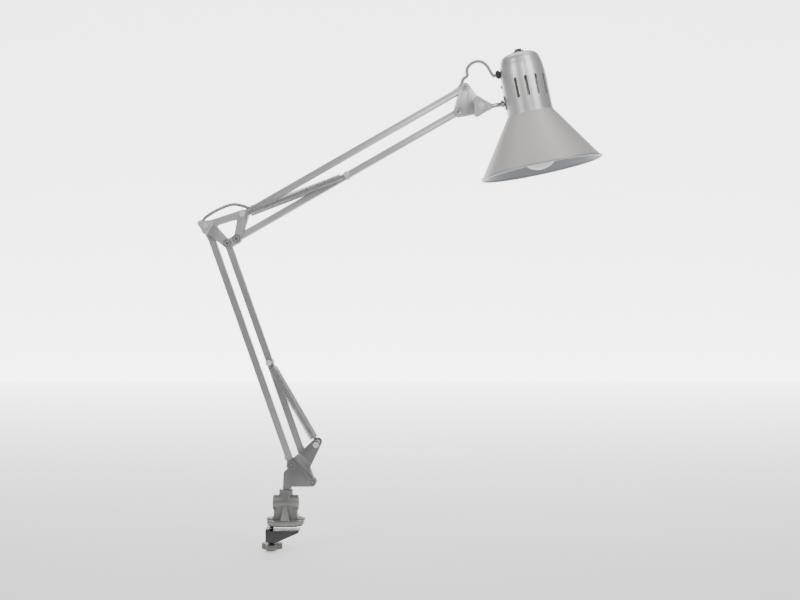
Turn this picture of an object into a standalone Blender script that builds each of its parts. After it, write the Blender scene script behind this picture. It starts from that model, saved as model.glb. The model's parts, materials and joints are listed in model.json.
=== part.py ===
"""Swing arm desk lamp: a table clamp, two sprung parallelogram arms and a vented reflector head.

Metres, +Z up. The origin is on the swivel axis, at the underside of the clamp's pad, where the
lamp rests on the table. The arms lie in the XZ plane and reach toward +X.
"""
from math import acos, asin, atan2, cos, pi, radians, sin

import bmesh
import bpy
from mathutils import Matrix, Vector

# ---- Driving dimensions -------------------------------------------------------------------

GAP = 0.0003            # air left between two pieces that touch
PIVOT_PLAY = 0.0003     # radial play of a pin in its hole

TUBE = 0.0095           # square arm tube, across its flats
TUBE_BORE = 0.0075
TUBE_OVERHANG = 0.0045  # tube beyond its end pivots
SHEET = 0.0015          # pressed steel plates
PLATE_IN = TUBE / 2 + GAP
PLATE_OUT = PLATE_IN + SHEET

LOWER_ARM = 0.353       # pivot to pivot
UPPER_ARM = 0.356
LOWER_LEAN = radians(19.47)
UPPER_RISE = radians(29.83)
HEAD_LEAN = radians(11.4)   # tilt of the shade's axis from upright

PIN_R = 0.002
BOLT_R = 0.0025
SCREW_HEAD_R = 0.005
CAP_R = 0.0043          # caps on the spring pins
EAR_R = 0.0066          # rounded plate corners around a pivot

SPRING_R = 0.005
SPRING_Y = 0.0121       # the springs run beside the bars, in front and behind
SPRING_HOOK = 0.009     # length of the hooked end of a spring
PIN_REACH = 0.0184      # spring pins reach this far out from the middle plane
EAR_STEP = 0.0124       # the base bracket's ears step outward by this much

SHADE_RIM_R = 0.0862
SHADE_LENGTH = 0.1665
CAP_WALL = 0.0006
SEAM = 0.0854           # distance from the top of the head to the joint of cap and cone
ROD_R = 0.0032
ROD_REACH = 0.0672      # tilt axis to the shade's axis
ROD_DROP = 0.0659       # rod's distance below the top of the head

CORD_R = 0.0019
CORD_INSIDE = 0.0235    # from a tube's end pivot to where the cord lies along its middle
SCREW_X = -0.020        # clamp screw and jaw


def in_plane(x, z):
    return Vector((x, 0.0, z))


LOWER_DIR = in_plane(-sin(LOWER_LEAN), cos(LOWER_LEAN))
UPPER_DIR = in_plane(cos(UPPER_RISE), sin(UPPER_RISE))
LOWER_LINK = in_plane(0.0286, -0.0235)
UPPER_LINK = in_plane(0.0098, 0.0339)

BASE_BACK = in_plane(0.0080, 0.0832)
BASE_FRONT = BASE_BACK + LOWER_LINK
LOWER_ANCHOR = in_plane(0.0432, 0.1133)
ELBOW = BASE_BACK + LOWER_DIR * LOWER_ARM
ELBOW_FRONT = ELBOW + LOWER_LINK
UPPER_BACK = ELBOW + in_plane(0.0412, -0.0168)
UPPER_TOP = UPPER_BACK + UPPER_LINK
LOWER_SPRING_PIN = BASE_FRONT + LOWER_DIR * 0.177
UPPER_SPRING_PIN = UPPER_BACK + UPPER_DIR * 0.1775
HEAD_BOTTOM = UPPER_BACK + UPPER_DIR * UPPER_ARM
HEAD_TOP = HEAD_BOTTOM + UPPER_LINK
TILT = HEAD_TOP + in_plane(0.0218, -0.0286)

ROD_DIR = in_plane(cos(HEAD_LEAN), sin(HEAD_LEAN))
HEAD_UP = in_plane(-sin(HEAD_LEAN), cos(HEAD_LEAN))
HEAD_CROWN = TILT + ROD_DIR * ROD_REACH + HEAD_UP * ROD_DROP
SWITCH_PIVOT = HEAD_CROWN - HEAD_UP * 0.001
CLAMP_SCREW = in_plane(SCREW_X, 0.0)

# The bodies that move as one, each with its parent and the point its joint turns about.
BODIES = {
    "clamp": (None, Vector()),
    "clamp_jaw": ("clamp", CLAMP_SCREW),
    "clamp_screw": ("clamp_jaw", CLAMP_SCREW),
    "base_bracket": ("clamp", Vector()),
    "lower_back_bar": ("base_bracket", BASE_BACK),
    "lower_front_bar": ("base_bracket", BASE_FRONT),
    "elbow": ("lower_back_bar", ELBOW),
    "elbow_knob": ("elbow", ELBOW),
    "upper_top_bar": ("elbow", UPPER_TOP),
    "upper_bottom_bar": ("elbow", UPPER_BACK),
    "head_bracket": ("upper_top_bar", HEAD_TOP),
    "head_knob": ("head_bracket", TILT),
    "head_rod": ("head_bracket", TILT),
    "shade": ("head_rod", TILT),
    "switch_rocker": ("shade", SWITCH_PIVOT),
}

# name: (colour, roughness, metallic)
FINISHES = {
    "silver_paint": ((0.42, 0.42, 0.43), 0.42, 0.35),
    "cast_paint": ((0.24, 0.24, 0.23), 0.50, 0.30),
    "jaw_paint": ((0.075, 0.08, 0.078), 0.50, 0.30),
    "cap_lacquer": ((0.55, 0.55, 0.56), 0.26, 0.65),
    "cone_lacquer": ((0.47, 0.455, 0.44), 0.50, 0.20),
    "chrome": ((0.70, 0.71, 0.72), 0.15, 1.0),
    "spring_steel": ((0.45, 0.45, 0.46), 0.30, 1.0),
    "grey_plastic": ((0.48, 0.46, 0.43), 0.45, 0.0),
    "brown_plastic": ((0.14, 0.12, 0.10), 0.50, 0.0),
    "pale_plastic": ((0.62, 0.61, 0.68), 0.40, 0.0),
    "cream_plastic": ((0.66, 0.63, 0.55), 0.45, 0.0),
    "black_rubber": ((0.02, 0.02, 0.02), 0.55, 0.0),
    "black_plastic": ((0.03, 0.03, 0.03), 0.35, 0.0),
    "cord_jacket": ((0.30, 0.31, 0.31), 0.50, 0.0),
    "frosted_glass": ((0.90, 0.90, 0.88), 0.20, 0.0),
    "brass": ((0.72, 0.58, 0.32), 0.30, 1.0),
}


# ---- Scene helpers ------------------------------------------------------------------------

def clear_scene():
    for obj in list(bpy.data.objects):
        bpy.data.objects.remove(obj, do_unlink=True)


def make_material(name):
    colour, roughness, metallic = FINISHES[name]
    material = bpy.data.materials.new(name)
    material.use_nodes = True
    shader = material.node_tree.nodes["Principled BSDF"]
    shader.inputs["Base Color"].default_value = (*colour, 1.0)
    shader.inputs["Roughness"].default_value = roughness
    shader.inputs["Metallic"].default_value = metallic
    return material


def make_bodies():
    """One empty for each moving body, on its joint's axis, parented like the joints."""
    empties = {}
    for name, (parent, pivot) in BODIES.items():
        empty = bpy.data.objects.new(f"axis_{name}", None)
        bpy.context.collection.objects.link(empty)
        empty.location = pivot
        if parent:
            empty.parent = empties[parent]
            empty.location = pivot - BODIES[parent][1]
        empties[name] = empty
    return empties


def add_object(name, mesh, body, finish):
    obj = bpy.data.objects.new(name, mesh)
    obj.parent = EMPTIES[body]
    obj.data.materials.append(MATERIALS[finish])
    bpy.context.collection.objects.link(obj)
    return obj


def add_solid(name, bm, body, finish):
    """Make a mesh drawn in lamp coordinates into an object whose origin is its body's pivot."""
    bmesh.ops.recalc_face_normals(bm, faces=bm.faces)
    bm.transform(Matrix.Translation(-BODIES[body][1]))
    mesh = bpy.data.meshes.new(name)
    bm.to_mesh(mesh)
    bm.free()
    mesh.shade_smooth()
    mesh.set_sharp_from_angle(angle=radians(35))
    return add_object(name, mesh, body, finish)


def combine(obj, tool_bm, body, operation):
    """Join a second shape to an object, or cut it away. The tool stays as a hidden guide."""
    tool = add_solid(f"{obj.name}_{operation.lower()}_{len(obj.modifiers)}", tool_bm, body,
                     "silver_paint")
    tool.hide_render = True
    tool.display_type = "WIRE"
    modifier = obj.modifiers.new(operation.title(), "BOOLEAN")
    modifier.operation = operation
    modifier.object = tool


def join(obj, tool_bm, body):
    combine(obj, tool_bm, body, "UNION")


def cut(obj, tool_bm, body):
    combine(obj, tool_bm, body, "DIFFERENCE")


# ---- Outline helpers (all outlines run anticlockwise, as (x, z) pairs) -----------------------

def arc(centre, radius, start, end, steps=6):
    """Points on an arc, in degrees; it runs clockwise where end is below start."""
    points = []
    for i in range(steps + 1):
        angle = radians(start + (end - start) * i / steps)
        points.append((centre[0] + radius * cos(angle), centre[1] + radius * sin(angle)))
    return points


def flat(point):
    return (point[0], point[2])


def belt(circles, steps=6):
    """The outline of a belt stretched round circles, given anticlockwise as (centre, radius)."""
    count = len(circles)
    normals = []
    for i, (centre, radius) in enumerate(circles):
        other, other_radius = circles[(i + 1) % count]
        run = Vector(other) - Vector(centre)
        heading = atan2(run[1], run[0])
        normals.append(heading - acos((radius - other_radius) / run.length))
    points = []
    for i, (centre, radius) in enumerate(circles):
        start = normals[i - 1]
        sweep = (normals[i] - start) % (2 * pi)
        for step in range(steps + 1):
            angle = start + sweep * step / steps
            points.append((centre[0] + radius * cos(angle), centre[1] + radius * sin(angle)))
    return points


def rounded(corners, radius, steps=4):
    """A polygon with each corner rounded to the radius."""
    points = []
    count = len(corners)
    for i, corner in enumerate(corners):
        here = Vector(corner)
        back = (Vector(corners[i - 1]) - here).normalized()
        ahead = (Vector(corners[(i + 1) % count]) - here).normalized()
        half = acos(max(-1.0, min(1.0, back.dot(ahead)))) / 2
        centre = here + (back + ahead).normalized() * (radius / sin(half))
        first = here + back * (radius / (sin(half) / cos(half))) - centre
        last = here + ahead * (radius / (sin(half) / cos(half))) - centre
        turn = first.angle_signed(last)
        for step in range(steps + 1):
            spoke = first.copy()
            spoke.rotate(Matrix.Rotation(-turn * step / steps, 2))
            points.append(tuple(centre + spoke))
    return points


def box_outline(x0, x1, z0, z1):
    return [(x0, z0), (x1, z0), (x1, z1), (x0, z1)]


def lobed(radius, waist, steps=30):
    """Three-lobed knob outline, one lobe along the first axis, sides hollowed to the waist."""
    points = []
    for i in range(steps):
        angle = 2 * pi * i / steps
        swell = (0.5 + 0.5 * cos(3 * angle)) ** 0.8
        points.append(((waist + (radius - waist) * swell) * cos(angle),
                       (waist + (radius - waist) * swell) * sin(angle)))
    return points


# ---- Solid helpers ------------------------------------------------------------------------

def frame(origin, across, up):
    """Matrix that takes (a, b, h) to origin + a * across + b * up + h * (across x up)."""
    out = across.cross(up)
    matrix = Matrix((across, up, out)).transposed().to_4x4()
    return Matrix.Translation(origin) @ matrix


def extrusion(outline, low, high, matrix):
    bm = bmesh.new()
    bottom = [bm.verts.new((a, b, low)) for a, b in outline]
    top = [bm.verts.new((a, b, high)) for a, b in outline]
    bm.faces.new(reversed(bottom))
    bm.faces.new(top)
    for i in range(len(outline)):
        j = (i + 1) % len(outline)
        bm.faces.new((bottom[i], bottom[j], top[j], top[i]))
    bm.transform(matrix)
    return bm


def plate(outline, front, rear):
    """A flat shape in the XZ plane, from y = front to y = rear."""
    return extrusion(outline, -rear, -front, frame(Vector(), Vector((1, 0, 0)), Vector((0, 0, 1))))


def slab(outline, low, high):
    """A flat shape drawn in XY, from z = low to z = high."""
    return extrusion(outline, low, high, Matrix())


def turned(profile, origin, axis, segments=16):
    """Turn (distance along the axis, radius) points. A profile off the axis makes a ring."""
    side = axis.orthogonal().normalized()
    if abs(axis.y) < 0.5:
        side = Vector((0, 1, 0))
    matrix = frame(origin, side, axis.cross(side))
    bm = bmesh.new()
    rings = []
    for along, radius in profile:
        if radius < 1e-7:
            rings.append([bm.verts.new((0, 0, along))])
            continue
        rings.append([bm.verts.new((radius * cos(2 * pi * i / segments),
                                    radius * sin(2 * pi * i / segments), along))
                      for i in range(segments)])
    closed = len(rings[0]) > 1 and len(rings[-1]) > 1
    pairs = list(zip(rings, rings[1:]))
    if closed:
        pairs.append((rings[-1], rings[0]))
    for first, second in pairs:
        for i in range(segments):
            j = (i + 1) % segments
            corners = [first[i % len(first)], first[j % len(first)],
                       second[j % len(second)], second[i % len(second)]]
            bm.faces.new(list(dict.fromkeys(corners)))
    bm.transform(matrix)
    return bm


def rod(origin, axis, radius, start, end, segments=16):
    return turned([(start, 0), (start, radius), (end, radius), (end, 0)], origin, axis, segments)


def cross_rod(point, radius, front, rear, segments=12):
    """A round bar along Y through a point of the arm plane."""
    return rod(point, Vector((0, 1, 0)), radius, front, rear, segments)


def joggle(bm, crease, heading, run, offset):
    """Bend a plate sideways: it steps by offset along Y over the run beyond a crease line."""
    for distance in (0.0, run):
        bmesh.ops.bisect_plane(bm, geom=bm.verts[:] + bm.edges[:] + bm.faces[:], dist=1e-7,
                               plane_co=crease + heading * distance, plane_no=heading)
    for vert in bm.verts:
        along = (vert.co - crease).dot(heading)
        vert.co.y += offset * max(0.0, min(1.0, along / run))
    return bm


# ---- Clamp --------------------------------------------------------------------------------

PAD_TOP = 0.0017
FLANGE_BOTTOM = PAD_TOP + GAP
FLANGE_TOP = 0.0078
CROSS_Z = 0.0308
CROSS_R = 0.0105
SOCKET_R = 0.00965
SOCKET_TOP = 0.0482
SOCKET_BORE_R = 0.0080
SOCKET_FLOOR = 0.0150
SWIVEL_R = 0.0060


def octagon(half_x, half_y, chamfer_x, chamfer_y):
    quarter = [(half_x, half_y - chamfer_y), (half_x - chamfer_x, half_y)]
    outline = quarter + [(-x, y) for x, y in reversed(quarter)]
    return outline + [(-x, -y) for x, y in outline]


def column_outline():
    """Half-width profile of the cast column: foot fillets, straight sides, necks under the tube."""
    right = ([(0.0250, FLANGE_TOP - 0.001)]
             + arc((0.0250, FLANGE_TOP + 0.0078), 0.0088, -90, -180, 6)
             + [(0.0162, 0.0195)]
             + arc((0.0150, 0.0218), 0.0016, 60, 180, 4)
             + [(0.0134, CROSS_Z)])
    return right + [(-x, z) for x, z in reversed(right)]


def clamp_bracket():
    body = "clamp"
    flange = slab(octagon(0.0251, 0.0220, 0.0095, 0.0095), FLANGE_BOTTOM, FLANGE_TOP)
    obj = add_solid("clamp_bracket", flange, body, "cast_paint")
    join(obj, plate(column_outline(), -0.0088, 0.0088), body)
    for side in (1, -1):
        rib = extrusion([(-0.0088, 0), (0.0088, 0), (0.0032, 0.0200), (-0.0032, 0.0200)],
                        0, 0.0085, frame(Vector((0, side * 0.0088, FLANGE_TOP - 0.0005)),
                                         Vector((-side, 0, 0)), Vector((0, 0, 1))))
        for vert in rib.verts:
            height = (vert.co.z - FLANGE_TOP) / 0.0200
            if abs(vert.co.y) > 0.0100:
                vert.co.y -= side * 0.0068 * max(0.0, height)
                vert.co.x *= 0.72
        join(obj, rib, body)
        join(obj, rod(Vector((side * 0.020, 0, 0)), Vector((0, 0, 1)), 0.0072,
                      FLANGE_TOP - 0.001, FLANGE_TOP + 0.0016), body)
    join(obj, rod(Vector((0, 0, CROSS_Z)), Vector((1, 0, 0)), CROSS_R, -0.0175, 0.0175, 24), body)
    join(obj, rod(Vector(), Vector((0, 0, 1)), SOCKET_R, CROSS_Z, SOCKET_TOP, 24), body)
    cut(obj, rod(Vector(), Vector((0, 0, 1)), SOCKET_BORE_R, SOCKET_FLOOR, SOCKET_TOP + 0.01, 16), body)
    for side in (1, -1):
        cut(obj, rod(Vector((0, 0, CROSS_Z)), Vector((side, 0, 0)), 0.0070, 0.0098, 0.03, 20), body)
        cut(obj, rod(Vector((side * 0.020, 0, 0)), Vector((0, 0, 1)), 0.0038, -0.01, 0.02, 16), body)


def clamp_pad():
    outline = octagon(0.0235, 0.0205, 0.0085, 0.0085)
    obj = add_solid("clamp_pad", slab(outline, 0.0, PAD_TOP), "clamp", "black_rubber")
    for side in (1, -1):
        cut(obj, rod(Vector((side * 0.020, 0, 0)), Vector((0, 0, 1)), 0.0042, -0.01, 0.02, 16), "clamp")


def swivel_bush():
    top = SOCKET_TOP + 0.0008
    profile = [(SOCKET_FLOOR + GAP, SWIVEL_R + GAP), (SOCKET_FLOOR + GAP, SOCKET_BORE_R - GAP),
               (SOCKET_TOP + GAP, SOCKET_BORE_R - GAP), (SOCKET_TOP + GAP, 0.0090),
               (top, 0.0090), (top, SWIVEL_R + GAP)]
    add_solid("swivel_bush", turned(profile, Vector(), Vector((0, 0, 1)), 16), "clamp", "grey_plastic")


JAW_TOP = -0.0078
JAW_BOSS_BOTTOM = -0.0262
KNOB_TOP = -0.0270
KNOB_BOTTOM = -0.0350
CLAMP_THREAD_R = 0.0034


def clamp_jaw():
    outline = [(-0.0274, -0.0048), (-0.0272, -0.0226), (-0.0140, -0.0240), (-0.0090, -0.0220),
               (0.0186, -0.0098), (0.0186, JAW_TOP), (-0.0126, JAW_TOP), (-0.0126, -0.0066),
               (-0.0140, -0.0048)]
    obj = add_solid("clamp_jaw", plate(outline, -0.0130, 0.0130), "clamp_jaw", "jaw_paint")
    cut(obj, plate([(-0.0216, -0.0020), (-0.0216, JAW_TOP), (-0.0126, JAW_TOP), (-0.0126, -0.0020)],
                   -0.02, 0.02), "clamp_jaw")
    join(obj, rod(CLAMP_SCREW, Vector((0, 0, 1)), 0.0056, JAW_BOSS_BOTTOM, -0.0200), "clamp_jaw")
    cut(obj, rod(CLAMP_SCREW, Vector((0, 0, 1)), 0.0042, -0.05, 0.0), "clamp_jaw")


def clamp_screw():
    low = KNOB_BOTTOM + 0.0020
    profile = [(low, 0), (low, CLAMP_THREAD_R), (FLANGE_TOP, CLAMP_THREAD_R),
               (FLANGE_TOP + 0.0012, CLAMP_THREAD_R - 0.0012), (FLANGE_TOP + 0.0012, 0)]
    add_solid("clamp_screw", turned(profile, CLAMP_SCREW, Vector((0, 0, 1)), 14), "clamp_screw",
              "chrome")


def clamp_knob():
    matrix = frame(CLAMP_SCREW, Vector((0, -1, 0)), Vector((1, 0, 0)))
    obj = add_solid("clamp_knob", extrusion(lobed(0.0160, 0.0088), KNOB_BOTTOM, KNOB_TOP, matrix),
                    "clamp_screw", "brown_plastic")
    cut(obj, rod(CLAMP_SCREW, Vector((0, 0, 1)), CLAMP_THREAD_R + GAP, KNOB_BOTTOM + 0.0017, 0.0, 14),
        "clamp_screw")


# ---- Base bracket -------------------------------------------------------------------------

BRACKET_BOTTOM = 0.0496
BRACKET_LEFT = -0.0039
BRACKET_WEB_TOP = 0.0730


def side_plate_outline():
    """Side view of the folded bracket: neck, two pivot ears and the tall spring ear."""
    base_back, base_front, anchor = flat(BASE_BACK), flat(BASE_FRONT), flat(LOWER_ANCHOR)
    return ([(BRACKET_LEFT, BRACKET_BOTTOM), (0.0072, BRACKET_BOTTOM), (0.0072, 0.0532)]
            + arc(base_front, 0.0064, -90, 70)
            + arc((0.0420, 0.0750), 0.0095, -112, -218)
            + arc(anchor, 0.0062, -27, 133)
            + [(0.0185, 0.0984)]
            + arc(base_back, 0.0070, 128, 222)
            + [(-0.0028, BRACKET_WEB_TOP)])


def base_bracket():
    body = "base_bracket"
    heading = in_plane(0.697, 0.717).normalized()
    crease = in_plane(0.0217, 0.0832)
    sides = []
    for side in (-1, 1):
        inner, outer = sorted((side * PLATE_IN, side * PLATE_OUT))
        sheet = plate(side_plate_outline(), inner, outer)
        sides.append(joggle(sheet, crease, heading, 0.0130, side * EAR_STEP))
    obj = add_solid("base_bracket", sides[0], body, "silver_paint")
    join(obj, sides[1], body)
    web = [(BRACKET_LEFT, BRACKET_BOTTOM), (BRACKET_LEFT + SHEET, BRACKET_BOTTOM),
           (-0.0028 + SHEET, BRACKET_WEB_TOP), (-0.0028, BRACKET_WEB_TOP)]
    join(obj, plate(web, -PLATE_OUT, PLATE_OUT), body)
    for point in (BASE_BACK, BASE_FRONT):
        cut(obj, cross_rod(point, PIN_R + PIVOT_PLAY, -0.01, 0.01), body)
    cut(obj, cross_rod(LOWER_ANCHOR, PIN_R + PIVOT_PLAY, -0.03, 0.03), body)


def swivel_pin():
    """Round in the socket, with a flat tang between the bracket's sides."""
    shaft = turned([(SOCKET_FLOOR + 0.001, 0), (SOCKET_FLOOR + 0.001, SWIVEL_R - 0.001),
                    (SOCKET_FLOOR + 0.002, SWIVEL_R), (0.0494, SWIVEL_R), (0.0494, 0)],
                   Vector(), Vector((0, 0, 1)), 16)
    obj = add_solid("swivel_pin", shaft, "base_bracket", "chrome")
    join(obj, plate(box_outline(-0.0012, 0.0048, 0.0492, 0.0640), -0.0045, 0.0045), "base_bracket")


# ---- Pins and screws ----------------------------------------------------------------------

def pivot_screw(name, point, body, plate_out=PLATE_OUT):
    """Pan-head screw at the front, lock nut at the rear, one solid from end to end."""
    face = plate_out + GAP
    profile = [(-face - 0.0026, 0), (-face - 0.0025, 0.0016), (-face - 0.0019, 0.0038),
               (-face - 0.0008, SCREW_HEAD_R), (-face, SCREW_HEAD_R), (-face, PIN_R),
               (face, PIN_R), (face, 0.0044), (face + 0.0034, 0.0044), (face + 0.0034, PIN_R),
               (face + 0.0042, PIN_R), (face + 0.0042, 0)]
    add_solid(name, turned(profile, point, Vector((0, 1, 0)), 12), body, "chrome")


def spring_pin(name, point, body, reach):
    """Pin along Y whose caps keep the spring hooks on."""
    profile = [(-reach - 0.0016, 0), (-reach - 0.0016, CAP_R - 0.0004), (-reach - 0.0012, CAP_R),
               (-reach, CAP_R), (-reach, PIN_R)]
    profile += [(-along, radius) for along, radius in reversed(profile)]
    add_solid(name, turned(profile, point, Vector((0, 1, 0)), 12), body, "pale_plastic")


def anchor_pins():
    """Two short pins in the bracket's ears, so that the bars can swing between them."""
    ear = PLATE_OUT + EAR_STEP + GAP
    profile = [(0.0088, 0), (0.0088, 0.0030), (0.0094, 0.0034), (0.0102, 0.0034), (0.0102, PIN_R),
               (ear, PIN_R), (ear, CAP_R), (ear + 0.0012, CAP_R), (ear + 0.0016, CAP_R - 0.0004),
               (ear + 0.0016, 0)]
    for label, side in (("front", -1), ("rear", 1)):
        add_solid(f"lower_anchor_{label}", turned(profile, LOWER_ANCHOR, Vector((0, side, 0)), 12),
                  "base_bracket", "pale_plastic")


def clamping_bolt(name, point, body, rear, front):
    """Hex-headed bolt from behind, whose end goes into its knob."""
    profile = [(front, 0), (front, BOLT_R), (rear, BOLT_R), (rear, 0.0046), (rear + 0.0036, 0.0046),
               (rear + 0.0036, 0)]
    add_solid(name, turned(profile, point, Vector((0, 1, 0)), 12), body, "chrome")


# ---- Bars and springs ---------------------------------------------------------------------

def bar_frame(point, direction):
    """Along the bar, square to it in the arm plane, and across (y = -height)."""
    return frame(point, direction, Vector((0, 1, 0)).cross(direction) * -1)


def bar(name, start, direction, length, body, holes):
    """Square tube from start along direction, with holes at the given distances."""
    matrix = bar_frame(start, direction)
    half = TUBE / 2
    edge = 0.0011
    section = [(half, half - edge), (half - edge, half), (edge - half, half), (-half, half - edge),
               (-half, edge - half), (edge - half, -half), (half - edge, -half), (half, edge - half)]
    across = frame(start, Vector((0, 1, 0)), direction.cross(Vector((0, 1, 0))))
    bore = TUBE_BORE / 2
    outer = extrusion(section, -TUBE_OVERHANG, length + TUBE_OVERHANG, across)
    obj = add_solid(name, outer, body, "silver_paint")
    cut(obj, extrusion(box_outline(-bore, bore, -bore, bore), -0.02, length + 0.02, across), body)
    for distance in holes:
        cut(obj, cross_rod(matrix @ Vector((distance, 0, 0)), PIN_R + PIVOT_PLAY, -0.01, 0.01), body)
    return obj


def cord_mouth(obj, matrix, body, side, slot, lip):
    """Slot in one wall for the cord, with a raised lip over its inner end."""
    half = TUBE / 2
    cut(obj, extrusion(box_outline(min(slot), max(slot), side * half - 0.0020, side * half + 0.0020),
                       -0.0025, 0.0025, matrix), body)
    mouth, root = lip
    outline = [(mouth, side * (half + 0.0010)), (root, side * (half - 0.0004)),
               (root, side * (half + 0.0004)), (mouth, side * (half + 0.0018))]
    join(obj, extrusion(outline, -0.0025, 0.0025, matrix), body)


def arm_bars():
    bolt_hole = BOLT_R + PIVOT_PLAY
    lower_back = bar("lower_back_bar", BASE_BACK, LOWER_DIR, LOWER_ARM, "lower_back_bar", (0.0,))
    cut(lower_back, cross_rod(ELBOW, bolt_hole, -0.01, 0.01), "lower_back_bar")
    from_elbow = bar_frame(ELBOW, -LOWER_DIR)
    cord_mouth(lower_back, from_elbow, "lower_back_bar", -1, (0.0005, 0.0170), (0.0085, 0.0185))
    from_base = bar_frame(BASE_BACK, LOWER_DIR)
    cord_mouth(lower_back, from_base, "lower_back_bar", 1, (0.0020, 0.0180), (0.0090, 0.0195))
    bar("lower_front_bar", BASE_FRONT, LOWER_DIR, LOWER_ARM, "lower_front_bar", (0.0, 0.177, LOWER_ARM))
    upper_top = bar("upper_top_bar", UPPER_TOP, UPPER_DIR, UPPER_ARM, "upper_top_bar", (0.0, UPPER_ARM))
    from_joint = bar_frame(UPPER_TOP, UPPER_DIR)
    cord_mouth(upper_top, from_joint, "upper_top_bar", 1, (0.0030, 0.0180), (0.0125, 0.0195))
    from_head = bar_frame(HEAD_TOP, -UPPER_DIR)
    cord_mouth(upper_top, from_head, "upper_top_bar", -1, (0.0008, 0.0170), (0.0093, 0.0190))
    bar("upper_bottom_bar", UPPER_BACK, UPPER_DIR, UPPER_ARM, "upper_bottom_bar",
        (0.0, 0.1775, UPPER_ARM))


def spring(name, start, end, y, body):
    """Plain envelope of a coil spring, with its hooked ends as thin rods."""
    offset = Vector((0, y, 0))
    run = end - start
    near = PIN_R + 2 * GAP
    wire = 0.0009
    profile = [(near, 0), (near, wire), (SPRING_HOOK, wire), (SPRING_HOOK, SPRING_R - 0.0008),
               (SPRING_HOOK + 0.0008, SPRING_R)]
    profile += [(run.length - along, radius) for along, radius in reversed(profile)]
    add_solid(name, turned(profile, start + offset, run.normalized(), 12), body, "spring_steel")


def springs():
    for label, side in (("front", -1), ("rear", 1)):
        spring(f"lower_spring_{label}", LOWER_ANCHOR, LOWER_SPRING_PIN, side * SPRING_Y, "base_bracket")
        spring(f"upper_spring_{label}", UPPER_TOP, UPPER_SPRING_PIN, side * SPRING_Y, "elbow")


# ---- Elbow --------------------------------------------------------------------------------

def elbow_plates():
    """Front and rear triangular frames that join the two arms."""
    outline = belt([(flat(ELBOW), 0.0072), (flat(ELBOW_FRONT), EAR_R), (flat(UPPER_BACK), EAR_R),
                    (flat(UPPER_TOP), EAR_R)])
    window = rounded([flat(ELBOW + in_plane(0.0115, 0.0017)), flat(ELBOW_FRONT + in_plane(0.0003, 0.0062)),
                      flat(UPPER_BACK + in_plane(-0.0030, 0.0050)), flat(UPPER_TOP + in_plane(-0.0088, -0.0062))],
                     0.0024)
    for label, side in (("front", -1), ("rear", 1)):
        inner, outer = sorted((side * PLATE_IN, side * PLATE_OUT))
        obj = add_solid(f"elbow_plate_{label}", plate(outline, inner, outer), "elbow", "silver_paint")
        cut(obj, plate(window, inner - 0.01, outer + 0.01), "elbow")
        for point in (ELBOW_FRONT, UPPER_BACK, UPPER_TOP):
            cut(obj, cross_rod(point, PIN_R + PIVOT_PLAY, -0.01, 0.01), "elbow")
        cut(obj, cross_rod(ELBOW, BOLT_R + PIVOT_PLAY, -0.01, 0.01), "elbow")


def side_knob(name, point, body, radius, waist, first_lobe, hub_r, back, cap_r):
    """Three-lobed knob facing front, with a hub behind it and a cap in its face."""
    face = -0.0205
    shoulder = -0.0135
    turn = Matrix.Rotation(first_lobe, 3, Vector((0, 1, 0)))
    matrix = frame(point, turn @ Vector((1, 0, 0)), turn @ Vector((0, 0, 1)))
    obj = add_solid(name, extrusion(lobed(radius, waist), -shoulder, -face, matrix), body, "grey_plastic")
    join(obj, cross_rod(point, hub_r, shoulder - 0.001, back, 20), body)
    cut(obj, cross_rod(point, BOLT_R + PIVOT_PLAY, -0.0175, 0.0, 12), body)
    cut(obj, cross_rod(point, cap_r + GAP, -0.03, face + 0.0012, 16), body)
    front = face + 0.0009
    profile = [(front - 0.0022, 0), (front - 0.0021, cap_r * 0.45), (front - 0.0015, cap_r * 0.85),
               (front - 0.0008, cap_r), (front, cap_r), (front, 0)]
    add_solid(f"{name}_cap", turned(profile, point, Vector((0, 1, 0)), 16), body, "pale_plastic")


def elbow():
    elbow_plates()
    clamping_bolt("elbow_bolt", ELBOW, "elbow", PLATE_OUT + GAP, -0.0170)
    pivot_screw("elbow_lower_screw", ELBOW_FRONT, "elbow")
    pivot_screw("elbow_upper_screw", UPPER_BACK, "elbow")
    spring_pin("upper_spring_anchor", UPPER_TOP, "elbow", PIN_REACH)
    side_knob("elbow_knob", ELBOW, "elbow_knob", 0.0112, 0.0074, radians(-30), 0.0062,
              -PLATE_OUT - GAP, 0.0037)


# ---- Head bracket -------------------------------------------------------------------------

EYE_HALF = 0.0025       # the rod's flat eye, half its thickness
PINCH = PLATE_IN - EYE_HALF - GAP


def head_plates():
    """Two plates hung on the upper arm that pinch in around the rod's eye."""
    outline = belt([(flat(HEAD_BOTTOM), EAR_R), (flat(TILT), 0.0066), (flat(HEAD_TOP), EAR_R)])
    heading = in_plane(0.985, -0.17).normalized()
    crease = HEAD_TOP + in_plane(0.0058, -0.0180)
    for label, side in (("front", -1), ("rear", 1)):
        inner, outer = sorted((side * PLATE_IN, side * PLATE_OUT))
        sheet = joggle(plate(outline, inner, outer), crease, heading, 0.0072, -side * PINCH)
        obj = add_solid(f"head_plate_{label}", sheet, "head_bracket", "silver_paint")
        for point in (HEAD_TOP, HEAD_BOTTOM):
            cut(obj, cross_rod(point, PIN_R + PIVOT_PLAY, -0.01, 0.01), "head_bracket")
        cut(obj, cross_rod(TILT, BOLT_R + PIVOT_PLAY, -0.01, 0.01), "head_bracket")


def head_bracket():
    head_plates()
    pivot_screw("head_top_screw", HEAD_TOP, "head_bracket")
    pivot_screw("head_bottom_screw", HEAD_BOTTOM, "head_bracket")
    out = EYE_HALF + GAP + SHEET
    clamping_bolt("head_bolt", TILT, "head_bracket", out + GAP, -0.0170)
    side_knob("head_knob", TILT, "head_knob", 0.0158, 0.0096, 0.0, 0.0072, -out - GAP, 0.0053)


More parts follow.
